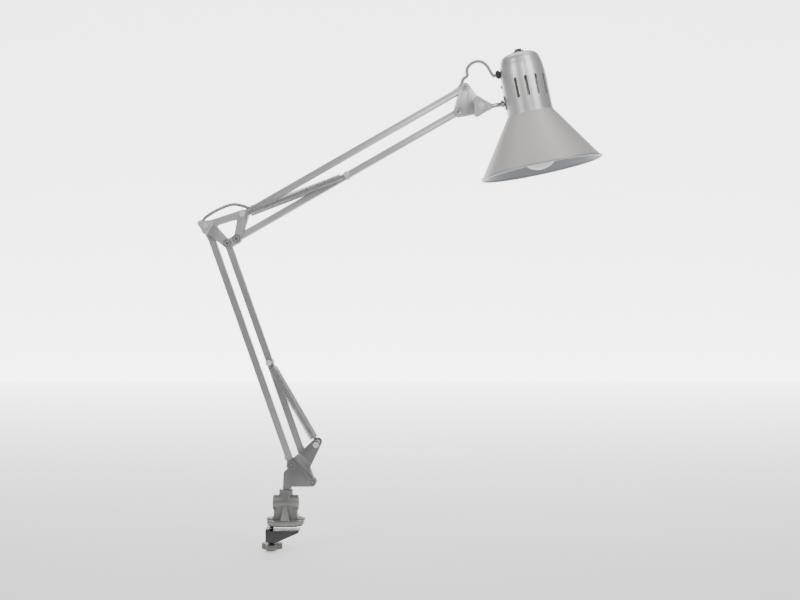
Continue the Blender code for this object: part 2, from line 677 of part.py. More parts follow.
def head_rod():
    """Round rod with a flat eye at the tilt bolt."""
    far = TILT + ROD_DIR * 0.0150
    eye = belt([(flat(TILT), 0.0062), (flat(far), ROD_R)])
    obj = add_solid("head_rod", plate(eye, -EYE_HALF, EYE_HALF), "head_rod", "chrome")
    join(obj, turned([(0.0145, 0), (0.0145, 0.0022), (0.0155, ROD_R), (0.0420, ROD_R), (0.0420, 0)],
                     TILT, ROD_DIR, 16), "head_rod")
    cut(obj, cross_rod(TILT, BOLT_R + PIVOT_PLAY, -0.01, 0.01), "head_rod")
    nut = add_solid("rod_nut", rod(TILT, ROD_DIR, 0.0056, 0.0296, 0.0332, 6), "head_rod", "chrome")
    cut(nut, rod(TILT, ROD_DIR, ROD_R + GAP, 0.0250, 0.0400, 16), "head_rod")


# ---- Shade --------------------------------------------------------------------------------

CAP_OUTER = [(0.0, 0.0), (0.0008, 0.0140), (0.0024, 0.0195), (0.0041, 0.0232), (0.0068, 0.0261),
             (0.0106, 0.0279), (0.0148, 0.0289), (0.0210, 0.0304), (0.0320, 0.0315),
             (0.0450, 0.0320), (0.0851, 0.0322)]
SLOT_WIDTH = 0.0038
SLOT_TOP = 0.0376
SLOT_BOTTOM = 0.0663
SLOT_COUNT = 10
SLOT_STEP = radians(26.4)


def shade_point(along_rod, below_crown):
    return HEAD_CROWN + ROD_DIR * along_rod - HEAD_UP * below_crown


def offset_inward(profile, wall):
    """The profile moved inward by the wall, square to each point's own slope."""
    moved = []
    for i, (along, radius) in enumerate(profile):
        before = Vector(profile[max(i - 1, 0)])
        after = Vector(profile[min(i + 1, len(profile) - 1)])
        slope = (after - before).normalized()
        moved.append((along + slope[1] * wall, max(0.0, radius - slope[0] * wall)))
    return moved


def shade_cap():
    inner = offset_inward(CAP_OUTER, CAP_WALL)
    inner[0] = (CAP_WALL, 0.0)
    inner[-1] = (CAP_OUTER[-1][0], inner[-1][1])
    down = -HEAD_UP
    obj = add_solid("shade_cap", turned(CAP_OUTER + inner[::-1], HEAD_CROWN, down, 32), "shade",
                    "cap_lacquer")
    half = SLOT_WIDTH / 2
    for i in range(SLOT_COUNT):
        angle = (i - (SLOT_COUNT - 1) / 2) * SLOT_STEP
        outward = (ROD_DIR * cos(angle) + Vector((0, 1, 0)) * sin(angle)).normalized()
        outline = belt([((0, -SLOT_BOTTOM + half), half), ((0, -SLOT_TOP - half), half)], 4)
        matrix = frame(HEAD_CROWN, HEAD_UP.cross(outward), HEAD_UP)
        cut(obj, extrusion(outline, 0.022, 0.045, matrix), "shade")
    cut(obj, extrusion(box_outline(-0.0060, 0.0060, -0.0074, 0.0074), -0.004, 0.004,
                       frame(HEAD_CROWN, ROD_DIR, Vector((0, 1, 0)))), "shade")
    cut(obj, rod(TILT, ROD_DIR, ROD_R + GAP, 0.030, 0.045, 16), "shade")
    cut(obj, rod(shade_point(0, GROMMET_DROP), -ROD_DIR, 0.0043, 0.020, 0.045, 16), "shade")
    cut(obj, rod(shade_point(0, CAP_SCREW_DROP), -ROD_DIR, 0.0014, 0.020, 0.045, 10), "shade")


CONE_TOP_R = 0.0322
CONE_START = SEAM + 0.0004
RIM_BEAD_R = 0.0011


def shade_cone():
    """Conical reflector: a collar inside the cap, a straight cone and a rolled rim."""
    wall = 0.0006
    rim = SHADE_LENGTH - RIM_BEAD_R
    bead = [(rim + RIM_BEAD_R * sin(radians(a)), SHADE_RIM_R - RIM_BEAD_R + RIM_BEAD_R * cos(radians(a)))
            for a in (-30, 45, 120, 180)]
    outer = [(0.0780, 0.0308), (CONE_START - 0.0002, 0.0308), (CONE_START, CONE_TOP_R)]
    inner = [(CONE_START + 0.0016, CONE_TOP_R - 0.0016), (CONE_START, 0.0308 - wall),
             (0.0780, 0.0308 - wall)]
    add_solid("shade_cone", turned(outer + bead + inner, HEAD_CROWN, -HEAD_UP, 36), "shade",
              "cone_lacquer")


def hinge_plate():
    """Small plate on the cap where the rod goes in."""
    matrix = frame(TILT, Vector((0, 1, 0)), Vector((0, 1, 0)).cross(ROD_DIR) * -1)
    outline = rounded(box_outline(-0.0060, 0.0060, -0.0100, 0.0100), 0.0020, 3)
    obj = add_solid("hinge_plate", extrusion(outline, 0.0336, 0.0346, matrix), "shade", "chrome")
    cut(obj, rod(TILT, ROD_DIR, ROD_R + GAP, 0.030, 0.045, 16), "shade")


GROMMET_DROP = 0.0245
CAP_SCREW_DROP = 0.0430


def cap_fittings():
    grommet = [(0.0262, 0.0023), (0.0262, 0.0052), (0.0284, 0.0052), (0.0284, 0.0040),
               (0.0318, 0.0040), (0.0318, 0.0062), (0.0344, 0.0062), (0.0368, 0.0044),
               (0.0368, 0.0023)]
    add_solid("cord_grommet", turned(grommet, shade_point(0, GROMMET_DROP), -ROD_DIR, 16), "shade",
              "black_rubber")
    screw = [(0.0270, 0), (0.0270, 0.0011), (0.0324, 0.0011), (0.0324, 0.0022), (0.0334, 0.0018),
             (0.0338, 0)]
    add_solid("cap_screw", turned(screw, shade_point(0, CAP_SCREW_DROP), -ROD_DIR, 10), "shade", "chrome")


def lampholder():
    """Holder with a skirt, hung from a plate inside the cap, and open below for the lamp's cap."""
    plate_profile = [(0.0156, 0.0), (0.0156, 0.0278), (0.0168, 0.0278), (0.0168, 0.0)]
    add_solid("holder_plate", turned(plate_profile, HEAD_CROWN, -HEAD_UP, 16), "shade", "chrome")
    top = 0.0171
    profile = [(top, 0.0), (top, 0.0140), (top + 0.004, 0.0160), (0.0340, 0.0196), (0.0560, 0.0200),
               (0.0780, 0.0200), (0.0780, 0.0170), (0.0500, 0.0140), (0.0500, 0.0)]
    add_solid("lampholder", turned(profile, HEAD_CROWN, -HEAD_UP, 16), "shade", "cream_plastic")


GLASS_WALL = 0.0008


def bulb():
    """Screw cap, and a thin glass envelope that is open at its neck."""
    base = [(0.0503, 0.0), (0.0503, 0.0050), (0.0545, 0.0132), (0.0790, 0.0132), (0.0790, 0.0)]
    add_solid("bulb_base", turned(base, HEAD_CROWN, -HEAD_UP, 14), "shade", "brass")
    centre, radius = 0.1375, 0.0288
    neck = 0.0793
    outer = [(neck, 0.0133), (0.0880, 0.0148), (0.1000, 0.0192), (0.1110, 0.0240)]
    outer += [(centre - radius * cos(radians(a)), radius * sin(radians(a))) for a in range(65, 180, 19)]
    outer += [(centre + radius, 0.0)]
    inner = offset_inward(outer, GLASS_WALL)
    inner[0] = (neck, outer[0][1] - GLASS_WALL)
    inner[-1] = (centre + radius - GLASS_WALL, 0.0)
    profile = outer[::-1] + inner
    add_solid("bulb_glass", turned(profile, HEAD_CROWN, -HEAD_UP, 16), "shade", "frosted_glass")


def switch():
    matrix = frame(HEAD_CROWN, ROD_DIR, Vector((0, 1, 0)))
    flange = extrusion(rounded(box_outline(-0.0070, 0.0070, -0.0084, 0.0084), 0.0012, 3),
                       0.0003, 0.0017, matrix)
    obj = add_solid("switch_bezel", flange, "shade", "grey_plastic")
    join(obj, extrusion(box_outline(-0.0057, 0.0057, -0.0071, 0.0071), -0.0150, 0.0010, matrix), "shade")
    cut(obj, extrusion(box_outline(-0.0051, 0.0051, -0.0065, 0.0065), -0.0060, 0.0100, matrix), "shade")
    press = Matrix.Rotation(radians(-7), 4, ROD_DIR)
    rock = Matrix.Translation(SWITCH_PIVOT) @ press @ Matrix.Translation(-SWITCH_PIVOT)
    outline = [(-0.0060, -0.0042), (0.0060, -0.0042), (0.0060, 0.0042), (0.0020, 0.0034),
               (-0.0020, 0.0034), (-0.0060, 0.0042)]
    side = frame(HEAD_CROWN, Vector((0, 1, 0)), HEAD_UP)
    rocker = extrusion(outline, -0.0047, 0.0047, rock @ side)
    add_solid("switch_rocker", rocker, "switch_rocker", "black_plastic")


# ---- Cord ---------------------------------------------------------------------------------

def smooth_route(points, spacing):
    """Points at an even spacing on a Catmull-Rom curve through the route's own points."""
    padded = [points[0] * 2 - points[1]] + points + [points[-1] * 2 - points[-2]]
    fine = []
    for i in range(1, len(padded) - 2):
        p0, p1, p2, p3 = padded[i - 1:i + 3]
        for step in range(16):
            t = step / 16
            fine.append(0.5 * (2 * p1 + (p2 - p0) * t + (2 * p0 - 5 * p1 + 4 * p2 - p3) * t ** 2
                               + (3 * p1 - p0 - 3 * p2 + p3) * t ** 3))
    fine.append(points[-1])
    route = [fine[0]]
    for point in fine[1:]:
        if (point - route[-1]).length >= spacing:
            route.append(point)
    route[-1] = fine[-1]
    return route


def cord(name, points, body, spacing=0.005):
    route = smooth_route(points, spacing)
    pivot = BODIES[body][1]
    curve = bpy.data.curves.new(name, "CURVE")
    curve.dimensions = "3D"
    curve.bevel_depth = CORD_R
    curve.bevel_resolution = 2
    curve.use_fill_caps = True
    spline = curve.splines.new("POLY")
    spline.points.add(len(route) - 1)
    for slot, point in zip(spline.points, route):
        slot.co = (*(point - pivot), 1.0)
    add_object(name, curve, body, "cord_jacket")


def on_bar(matrix, pairs):
    return [matrix @ Vector((along, square, 0.0)) for along, square in pairs]


def cords():
    """The supply cord's visible loops at head and elbow, and its runs inside the two tubes."""
    from_head = bar_frame(HEAD_TOP, -UPPER_DIR)
    from_joint = bar_frame(UPPER_TOP, UPPER_DIR)
    from_elbow = bar_frame(ELBOW, -LOWER_DIR)
    from_base = bar_frame(BASE_BACK, LOWER_DIR)
    grommet_mouth = shade_point(-0.0362, GROMMET_DROP)
    head_loop = [shade_point(-0.0255, GROMMET_DROP), grommet_mouth, shade_point(-0.0402, GROMMET_DROP)]
    head_loop += [grommet_mouth + in_plane(x, z) for x, z in (
        (-0.0081, 0.0045), (-0.0126, 0.0122), (-0.0190, 0.0178), (-0.0262, 0.0192),
        (-0.0338, 0.0168), (-0.0396, 0.0112), (-0.0412, 0.0050), (-0.0406, -0.0010))]
    head_loop += on_bar(from_head, [(-0.0042, -0.0118), (0.0010, -0.0072), (0.0050, -0.0052),
                                    (0.0095, -0.0030), (0.0140, -0.0013), (0.0185, -0.0004),
                                    (CORD_INSIDE, 0.0)])
    cord("cord_head_loop", head_loop, "head_bracket")

    elbow_loop = on_bar(from_joint, [(CORD_INSIDE, 0.0), (0.0185, 0.0005), (0.0150, 0.0013),
                                     (0.0120, 0.0029), (0.0092, 0.0056), (0.0066, 0.0092)])
    elbow_loop += [ELBOW + in_plane(x, z) for x, z in (
        (0.0468, 0.0300), (0.0402, 0.0314), (0.0332, 0.0304), (0.0255, 0.0270), (0.0170, 0.0230),
        (0.0085, 0.0188), (0.0013, 0.0148), (-0.0046, 0.0106))]
    elbow_loop += on_bar(from_elbow, [(-0.0060, -0.0070), (-0.0015, -0.0078), (0.0025, -0.0063),
                                      (0.0070, -0.0034), (0.0115, -0.0015), (0.0170, -0.0003),
                                      (CORD_INSIDE, 0.0)])
    cord("cord_elbow_loop", elbow_loop, "elbow")

    start = CORD_INSIDE + GAP
    upper_run = [(start, 0.0), (UPPER_ARM / 2, 0.0), (UPPER_ARM - start, 0.0)]
    cord("cord_in_upper_tube", on_bar(from_joint, upper_run), "upper_top_bar", 0.030)
    lower_run = [(0.0100, 0.0012), (0.0300, 0.0), (LOWER_ARM / 2, 0.0), (LOWER_ARM - start, 0.0)]
    cord("cord_in_lower_tube", on_bar(from_base, lower_run), "lower_back_bar", 0.030)


# ---- The lamp -----------------------------------------------------------------------------

def build_lamp():
    clamp_bracket()
    clamp_pad()
    swivel_bush()
    clamp_jaw()
    clamp_screw()
    clamp_knob()
    base_bracket()
    swivel_pin()
    pivot_screw("base_back_screw", BASE_BACK, "base_bracket")
    pivot_screw("base_front_screw", BASE_FRONT, "base_bracket")
    anchor_pins()
    spring_pin("lower_spring_pin", LOWER_SPRING_PIN, "lower_front_bar", PIN_REACH)
    spring_pin("upper_spring_pin", UPPER_SPRING_PIN, "upper_bottom_bar", PIN_REACH)
    arm_bars()
    springs()
    elbow()
    head_bracket()
    head_rod()
    shade_cap()
    shade_cone()
    hinge_plate()
    cap_fittings()
    lampholder()
    bulb()
    switch()
    cords()


clear_scene()
MATERIALS = {name: make_material(name) for name in FINISHES}
EMPTIES = make_bodies()
build_lamp()
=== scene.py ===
"""Finished looks of the clamp-on swing arm desk lamp.

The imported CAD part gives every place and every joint. This script gives its nodes their finishes, and
puts finer pieces in place of those whose shape the CAD part only outlines: the lacquered head, the coiled
springs, the cord, the screws and the clamp's thread.
"""

import json
from math import cos, floor, pi, radians, sin

import bmesh
import bpy
from mathutils import Matrix, Vector


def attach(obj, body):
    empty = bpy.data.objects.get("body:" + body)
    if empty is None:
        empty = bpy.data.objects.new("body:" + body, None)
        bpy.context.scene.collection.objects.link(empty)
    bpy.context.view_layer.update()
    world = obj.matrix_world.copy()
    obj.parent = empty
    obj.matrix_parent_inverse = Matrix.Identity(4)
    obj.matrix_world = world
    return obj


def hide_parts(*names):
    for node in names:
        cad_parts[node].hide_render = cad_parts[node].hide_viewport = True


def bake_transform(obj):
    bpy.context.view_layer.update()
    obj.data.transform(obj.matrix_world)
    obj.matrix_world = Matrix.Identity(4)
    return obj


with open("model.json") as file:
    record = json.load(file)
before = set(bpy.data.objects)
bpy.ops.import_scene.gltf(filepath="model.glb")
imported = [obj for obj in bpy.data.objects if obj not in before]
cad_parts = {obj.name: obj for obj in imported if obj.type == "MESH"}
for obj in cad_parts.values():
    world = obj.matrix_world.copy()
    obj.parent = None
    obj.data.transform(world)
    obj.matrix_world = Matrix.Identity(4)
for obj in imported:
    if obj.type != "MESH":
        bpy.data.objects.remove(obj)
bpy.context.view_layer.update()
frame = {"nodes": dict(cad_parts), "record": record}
NODES = frame["nodes"]
Y_AXIS = Vector((0, 1, 0))

# ---- The lamp's own layout, in metres -----------------------------------------------------

BASE_BACK = Vector((0.0080, 0, 0.0832))
BASE_FRONT = Vector((0.0366, 0, 0.0597))
LOWER_ANCHOR = Vector((0.0432, 0, 0.1133))
LOWER_LEAN = radians(19.47)     # the lower arm, from upright
UPPER_RISE = radians(29.83)     # the upper arm, from level
ROD_RISE = radians(11.4)        # the head's rod, from level
LOWER_SPAN = 0.353              # from pivot to pivot of a bar
UPPER_SPAN = 0.356
LOWER_DIR = Vector((-sin(LOWER_LEAN), 0, cos(LOWER_LEAN)))
UPPER_DIR = Vector((cos(UPPER_RISE), 0, sin(UPPER_RISE)))
ELBOW = BASE_BACK + LOWER_DIR * LOWER_SPAN
ELBOW_FRONT = ELBOW + BASE_FRONT - BASE_BACK
UPPER_BACK = ELBOW + Vector((0.0412, 0, -0.0168))
UPPER_TOP = UPPER_BACK + Vector((0.0098, 0, 0.0339))
HEAD_BOTTOM = UPPER_BACK + UPPER_DIR * UPPER_SPAN
HEAD_TOP = UPPER_TOP + UPPER_DIR * UPPER_SPAN
TILT = HEAD_TOP + Vector((0.0218, 0, -0.0286))
ROD_DIR = Vector((cos(ROD_RISE), 0, sin(ROD_RISE)))
HEAD_UP = Vector((-ROD_DIR.z, 0, ROD_DIR.x))
HEAD_CROWN = TILT + ROD_DIR * 0.0672 + HEAD_UP * 0.0659
LOWER_SPRING_PIN = BASE_FRONT + LOWER_DIR * 0.177
UPPER_SPRING_PIN = UPPER_BACK + UPPER_DIR * 0.1775
CLAMP_SCREW_X = -0.020

PLATE_FACE = 0.00685    # from the middle plane to a screw's seat on an outer plate
PIN_R = 0.0020
SPRING_R = 0.0050       # outside radius of a coil
SPRING_Y = 0.0121       # a spring's distance from the middle plane
SPRING_HOOK = 0.0090
SPRING_WIRE_R = 0.00085
SPRING_PITCH = 0.00220
SPRING_PIECES = 7
CORD_HALF_TALL = 0.00215    # a flat cord on edge, so its wide side faces front
CORD_HALF_DEEP = 0.00140


# ---- Meshes -------------------------------------------------------------------------------

def add_piece(name, bm, finish, body=None, stands_for=(), crease=35):
    """Makes a smooth-shaded object of the mesh, on its body, with its finish; it hides the CAD nodes it
    stands for.
    """
    bmesh.ops.recalc_face_normals(bm, faces=bm.faces)
    mesh = bpy.data.meshes.new(name)
    bm.to_mesh(mesh)
    bm.free()
    smooth(mesh, crease)
    mesh.materials.append(MATERIALS[finish])
    obj = bpy.data.objects.new(name, mesh)
    bpy.context.scene.collection.objects.link(obj)
    if body:
        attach(obj, body)
    if stands_for:
        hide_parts(*stands_for)
    return obj


def smooth(mesh, crease):
    mesh.polygons.foreach_set("use_smooth", [True] * len(mesh.polygons))
    mesh.set_sharp_from_angle(angle=radians(crease))


def across(axis):
    """Two directions square to the axis."""
    first = Y_AXIS.cross(axis)
    if first.length < 0.1:
        first = Vector((1, 0, 0)).cross(axis)
    first.normalize()
    return first, axis.cross(first).normalized()


def smooth_route(points, steps):
    """The points with more added between them, on a smooth curve through them all."""
    padded = [points[0] * 2 - points[1]] + points + [points[-1] * 2 - points[-2]]
    made = []
    for p0, p1, p2, p3 in zip(padded, padded[1:], padded[2:], padded[3:]):
        for step in range(steps):
            t = step / steps
            bend = (p2 - p0) * t + (2 * p0 - 5 * p1 + 4 * p2 - p3) * t ** 2
            made.append(p1 + 0.5 * (bend + (3 * p1 - p0 - 3 * p2 + p3) * t ** 3))
    made.append(points[-1])
    return made


def skin(bm, rings, closed=False):
    """Faces between rings of vertices. A ring of one vertex is a tip."""
    pairs = list(zip(rings, rings[1:]))
    if closed:
        pairs.append((rings[-1], rings[0]))
    for low, high in pairs:
        count = max(len(low), len(high))
        for i in range(count):
            j = (i + 1) % count
            corners = [low[i % len(low)], low[j % len(low)], high[j % len(high)], high[i % len(high)]]
            unique = list(dict.fromkeys(corners))
            if len(unique) > 2:
                bm.faces.new(unique)


def turned(bm, profile, origin, axis, segments=64, closed=False):
    """Adds a shape turned about the axis, from (distance along it, radius) pairs."""
    side, other = across(axis)
    rings = []
    for along, radius in profile:
        centre = origin + axis * along
        if radius < 1e-7:
            rings.append([bm.verts.new(centre)])
            continue
        ring = []
        for i in range(segments):
            angle = 2 * pi * i / segments
            ring.append(bm.verts.new(centre + (side * cos(angle) + other * sin(angle)) * radius))
        rings.append(ring)
    skin(bm, rings, closed)


def swept(bm, places, half_a, half_b, sides=10):
    """Adds a tube through places: each is a point and the two directions of its oval section."""
    rings = []
    for point, a, b in places:
        ring = []
        for i in range(sides):
            angle = 2 * pi * i / sides
            ring.append(bm.verts.new(point + a * half_a * cos(angle) + b * half_b * sin(angle)))
        rings.append(ring)
    first = bm.verts.new(places[0][0])
    last = bm.verts.new(places[-1][0])
    skin(bm, [[first]] + rings + [[last]])


def block(bm, matrix, size):
    """Adds a box of the given size, centred in the matrix's frame."""
    made = bmesh.ops.create_cube(bm, size=1.0)["verts"]
    bmesh.ops.scale(bm, vec=size, verts=made)
    bmesh.ops.transform(bm, matrix=matrix, verts=made)


def facing(origin, right, up):
    """Frame with x along right, y along up and z square to both."""
    out = right.cross(up)
    matrix = Matrix((right, up, out)).transposed().to_4x4()
    matrix.translation = origin
    return matrix


def carve(obj, tool_bm):
    """Takes the tool's volume out of the object's mesh."""
    bmesh.ops.recalc_face_normals(tool_bm, faces=tool_bm.faces)
    tool_mesh = bpy.data.meshes.new("tool")
    tool_bm.to_mesh(tool_mesh)
    tool_bm.free()
    tool = bpy.data.objects.new("tool", tool_mesh)
    bpy.context.scene.collection.objects.link(tool)
    modifier = obj.modifiers.new("carve", "BOOLEAN")
    modifier.operation = "DIFFERENCE"
    modifier.solver = "EXACT"
    modifier.object = tool
    bpy.context.view_layer.update()
    carved = bpy.data.meshes.new_from_object(obj.evaluated_get(bpy.context.evaluated_depsgraph_get()))
    obj.modifiers.clear()
    obj.data = carved
    bpy.data.objects.remove(tool)


def soften(node, width):
    """Rounds a CAD node's edges, without changing its mesh."""
    obj = NODES[node]
    weld = obj.modifiers.new("weld", "WELD")
    weld.merge_threshold = 0.000004
    bevel = obj.modifiers.new("round_edges", "BEVEL")
    bevel.width = width
    bevel.segments = 3
    bevel.limit_method = "ANGLE"
    bevel.angle_limit = radians(40)
    bevel.harden_normals = False


# ---- Materials ----------------------------------------------------------------------------

def grey(value):
    return (value, value, value)


def noise(tree, scale, detail=4.0):
    """Noise on the piece's own place in the lamp, so that it moves with its body."""
    place = tree.nodes.new("ShaderNodeTexCoord")
    texture = tree.nodes.new("ShaderNodeTexNoise")
    texture.inputs["Scale"].default_value = scale
    texture.inputs["Detail"].default_value = detail
    tree.links.new(place.outputs["Object"], texture.inputs["Vector"])
    return texture.outputs["Fac"]


def ramp(tree, source, low, high, dark, light):
    node = tree.nodes.new("ShaderNodeValToRGB")
    first, last = node.color_ramp.elements
    first.position = low
    last.position = high
    first.color = (*dark, 1)
    last.color = (*light, 1)
    tree.links.new(source, node.inputs["Fac"])
    return node.outputs["Color"]


def mixed(tree, factor, first, second):
    node = tree.nodes.new("ShaderNodeMix")
    node.data_type = "RGBA"
    tree.links.new(factor, node.inputs[0])
    tree.links.new(first, node.inputs[6])
    node.inputs[7].default_value = (*second, 1)
    return node.outputs[2]


def bumped(tree, surface, height, strength, distance):
    node = tree.nodes.new("ShaderNodeBump")
    node.inputs["Strength"].default_value = strength
    node.inputs["Distance"].default_value = distance
    tree.links.new(height, node.inputs["Height"])
    tree.links.new(node.outputs["Normal"], surface.inputs["Normal"])


def make_finish(name, look):
    """A surface with cloudy tone, small flecks, uneven gloss and a fine relief."""
    material = bpy.data.materials.new(name)
    material.use_nodes = True
    tree = material.node_tree
    surface = tree.nodes["Principled BSDF"]
    colour = look["colour"]
    spread = look.get("spread", 0.08)
    dark = tuple(c * (1 - spread) for c in colour)
    light = tuple(min(1.0, c * (1 + spread)) for c in colour)
    tone = ramp(tree, noise(tree, look.get("cloud", 35.0)), 0.32, 0.68, dark, light)
    fleck = look.get("fleck", tuple(c * 0.45 for c in colour))
    fleck_amount = look.get("fleck_amount", 0.25)
    fleck_mask = ramp(tree, noise(tree, 900.0, 2.0), 0.66, 0.74, grey(0.0), grey(fleck_amount))
    tree.links.new(mixed(tree, fleck_mask, tone, fleck), surface.inputs["Base Color"])
    rough = look["rough"]
    uneven = look.get("uneven", 0.06)
    grain = noise(tree, look["grain"], 5.0)
    gloss = ramp(tree, grain, 0.30, 0.70, grey(max(0.02, rough - uneven)), grey(rough + uneven))
    tree.links.new(gloss, surface.inputs["Roughness"])
    bumped(tree, surface, grain, look.get("relief", 0.15), look.get("depth", 0.0002))
    surface.inputs["Metallic"].default_value = look.get("metallic", 0.0)
    surface.inputs["Coat Weight"].default_value = look.get("coat", 0.0)
    surface.inputs["Coat Roughness"].default_value = 0.08
    surface.inputs["Specular IOR Level"].default_value = look.get("specular", 0.5)
    surface.inputs["Transmission Weight"].default_value = look.get("transmission", 0.0)
    surface.inputs["Subsurface Weight"].default_value = look.get("soft", 0.0)
    surface.inputs["Subsurface Scale"].default_value = 0.004
    return material


LOOKS = {
    "silver_paint": {"colour": (0.49, 0.49, 0.50), "rough": 0.33, "metallic": 0.55, "grain": 1600.0,
                     "relief": 0.10, "cloud": 22.0, "spread": 0.05, "coat": 0.15},
    # The next two looks are darker copies of the silver paint: painted shade for the dimmer light on the base
    # bracket and lower bars.
    "bracket_shaded_paint": {"colour": (0.165, 0.165, 0.165), "rough": 0.40, "metallic": 0.40, "grain": 1600.0,
                      "relief": 0.10, "cloud": 22.0, "spread": 0.05, "coat": 0.15},
    "lower_bar_shaded_paint": {"colour": (0.31, 0.31, 0.315), "rough": 0.38, "metallic": 0.45, "grain": 1600.0,
                        "relief": 0.10, "cloud": 22.0, "spread": 0.05, "coat": 0.15},
    "cast_paint": {"colour": (0.215, 0.215, 0.205), "rough": 0.42, "metallic": 0.35, "grain": 420.0,
                   "relief": 0.35, "depth": 0.0004, "fleck": (0.42, 0.38, 0.33), "spread": 0.14},
    "jaw_paint": {"colour": (0.040, 0.043, 0.042), "rough": 0.45, "metallic": 0.3, "grain": 420.0,
                  "relief": 0.35, "depth": 0.0004, "fleck": (0.14, 0.13, 0.12)},
    "cap_lacquer": {"colour": (0.56, 0.56, 0.57), "rough": 0.36, "metallic": 0.62, "grain": 2200.0,
                    "relief": 0.04, "coat": 0.25, "spread": 0.03, "fleck_amount": 0.08, "uneven": 0.03},
    "cone_lacquer": {"colour": (0.49, 0.475, 0.455), "rough": 0.46, "metallic": 0.25, "grain": 1500.0,
                     "relief": 0.08, "spread": 0.03, "cloud": 9.0, "fleck_amount": 0.10},
    # Inner face of the shade: bluish grey, darkened as painted shade inside the cup.
    "cone_inside_shaded": {"colour": (0.20, 0.218, 0.228), "rough": 0.32, "metallic": 0.35, "grain": 1500.0,
                    "relief": 0.06, "spread": 0.04, "fleck_amount": 0.08},
    # Rolled rim: darker than the cone, painted shade for the dark line along the rim; its coat gives the
    # gloss.
    "rim_bead_shaded": {"colour": (0.36, 0.36, 0.355), "rough": 0.34, "metallic": 0.3, "grain": 1500.0,
                 "relief": 0.05, "coat": 0.15, "fleck_amount": 0.08},
    "screw_chrome": {"colour": (0.86, 0.88, 0.89), "rough": 0.20, "metallic": 0.35, "grain": 600.0,
                     "relief": 0.05, "fleck_amount": 0.3},
    # Dark finish for the bottom of a screw's cross: painted shade in the hollow.
    "shaded_recess": {"colour": (0.17, 0.18, 0.19), "rough": 0.40, "metallic": 0.6, "grain": 900.0},
    "washer": {"colour": (0.27, 0.28, 0.29), "rough": 0.30, "metallic": 0.9, "grain": 900.0},
    "chrome": {"colour": (0.42, 0.43, 0.44), "rough": 0.15, "metallic": 1.0, "grain": 500.0,
               "relief": 0.05, "fleck_amount": 0.3},
    "spring_steel": {"colour": (0.33, 0.33, 0.34), "rough": 0.34, "metallic": 0.9, "grain": 900.0,
                     "spread": 0.06, "relief": 0.05, "fleck_amount": 0.1},
    "grey_plastic": {"colour": (0.43, 0.415, 0.39), "rough": 0.50, "grain": 1300.0, "relief": 0.20,
                     "spread": 0.05, "fleck_amount": 0.12},
    "brown_plastic": {"colour": (0.140, 0.127, 0.110), "rough": 0.48, "grain": 1100.0, "relief": 0.25},
    "pale_plastic": {"colour": (0.58, 0.57, 0.63), "rough": 0.32, "grain": 900.0, "relief": 0.08,
                     "spread": 0.04, "fleck_amount": 0.10},
    "cream_plastic": {"colour": (0.66, 0.63, 0.55), "rough": 0.42, "grain": 700.0, "spread": 0.06},
    "black_rubber": {"colour": (0.022, 0.022, 0.023), "rough": 0.62, "grain": 800.0, "relief": 0.35,
                     "fleck": (0.07, 0.07, 0.07)},
    "black_plastic": {"colour": (0.03, 0.03, 0.031), "rough": 0.28, "grain": 1200.0, "relief": 0.10,
                      "fleck": (0.07, 0.07, 0.07)},
    "cord_jacket": {"colour": (0.26, 0.265, 0.265), "rough": 0.55, "specular": 0.20, "grain": 1500.0,
                    "relief": 0.15, "fleck_amount": 0.15},
    "frosted_glass": {"colour": (0.90, 0.90, 0.88), "rough": 0.40, "grain": 1800.0, "relief": 0.10,
                      "spread": 0.02, "fleck_amount": 0.05, "transmission": 0.35, "soft": 0.3},
    "brass": {"colour": (0.72, 0.58, 0.32), "rough": 0.30, "metallic": 1.0, "grain": 900.0},
}
MATERIALS = {name: make_finish(name, look) for name, look in LOOKS.items()}


def paint_nodes():
    """Gives each CAD node its slot's finish; the switch bezel gets black plastic, and the base bracket and
    lower bars get darker copies of the silver paint as painted shade, for the dimmer light near the base.
    """
    for part in frame["record"]["subparts"]:
        mesh = NODES[part["node"]].data
        mesh.materials.clear()
        mesh.materials.append(MATERIALS[part["material_slot"]])
        smooth(mesh, 32)
    # Base bracket and lower bars: darker silver paint as painted shade. Switch bezel: its own black plastic.
    own_finish_or_shade = {"switch_bezel": "black_plastic", "base_bracket": "bracket_shaded_paint",
                  "lower_back_bar": "lower_bar_shaded_paint", "lower_front_bar": "lower_bar_shaded_paint"}
    for node, finish in own_finish_or_shade.items():
        NODES[node].data.materials[0] = MATERIALS[finish]


def soften_nodes():
    """Rounds the edges of the nodes that stay as the CAD made them."""
    rounding = {
        0.00045: ("lower_back_bar", "lower_front_bar", "upper_top_bar", "upper_bottom_bar"),
        0.00030: ("elbow_plate_front", "elbow_plate_rear", "head_plate_front", "head_plate_rear",
                  "base_bracket", "hinge_plate", "clamp_pad"),
        0.00080: ("clamp_bracket", "clamp_jaw", "clamp_knob"),
        0.00040: ("switch_bezel", "switch_rocker", "cord_grommet", "rod_nut", "head_rod", "swivel_bush"),
    }
    for width, nodes in rounding.items():
        for node in nodes:
            soften(node, width)


# ---- Head ---------------------------------------------------------------------------------

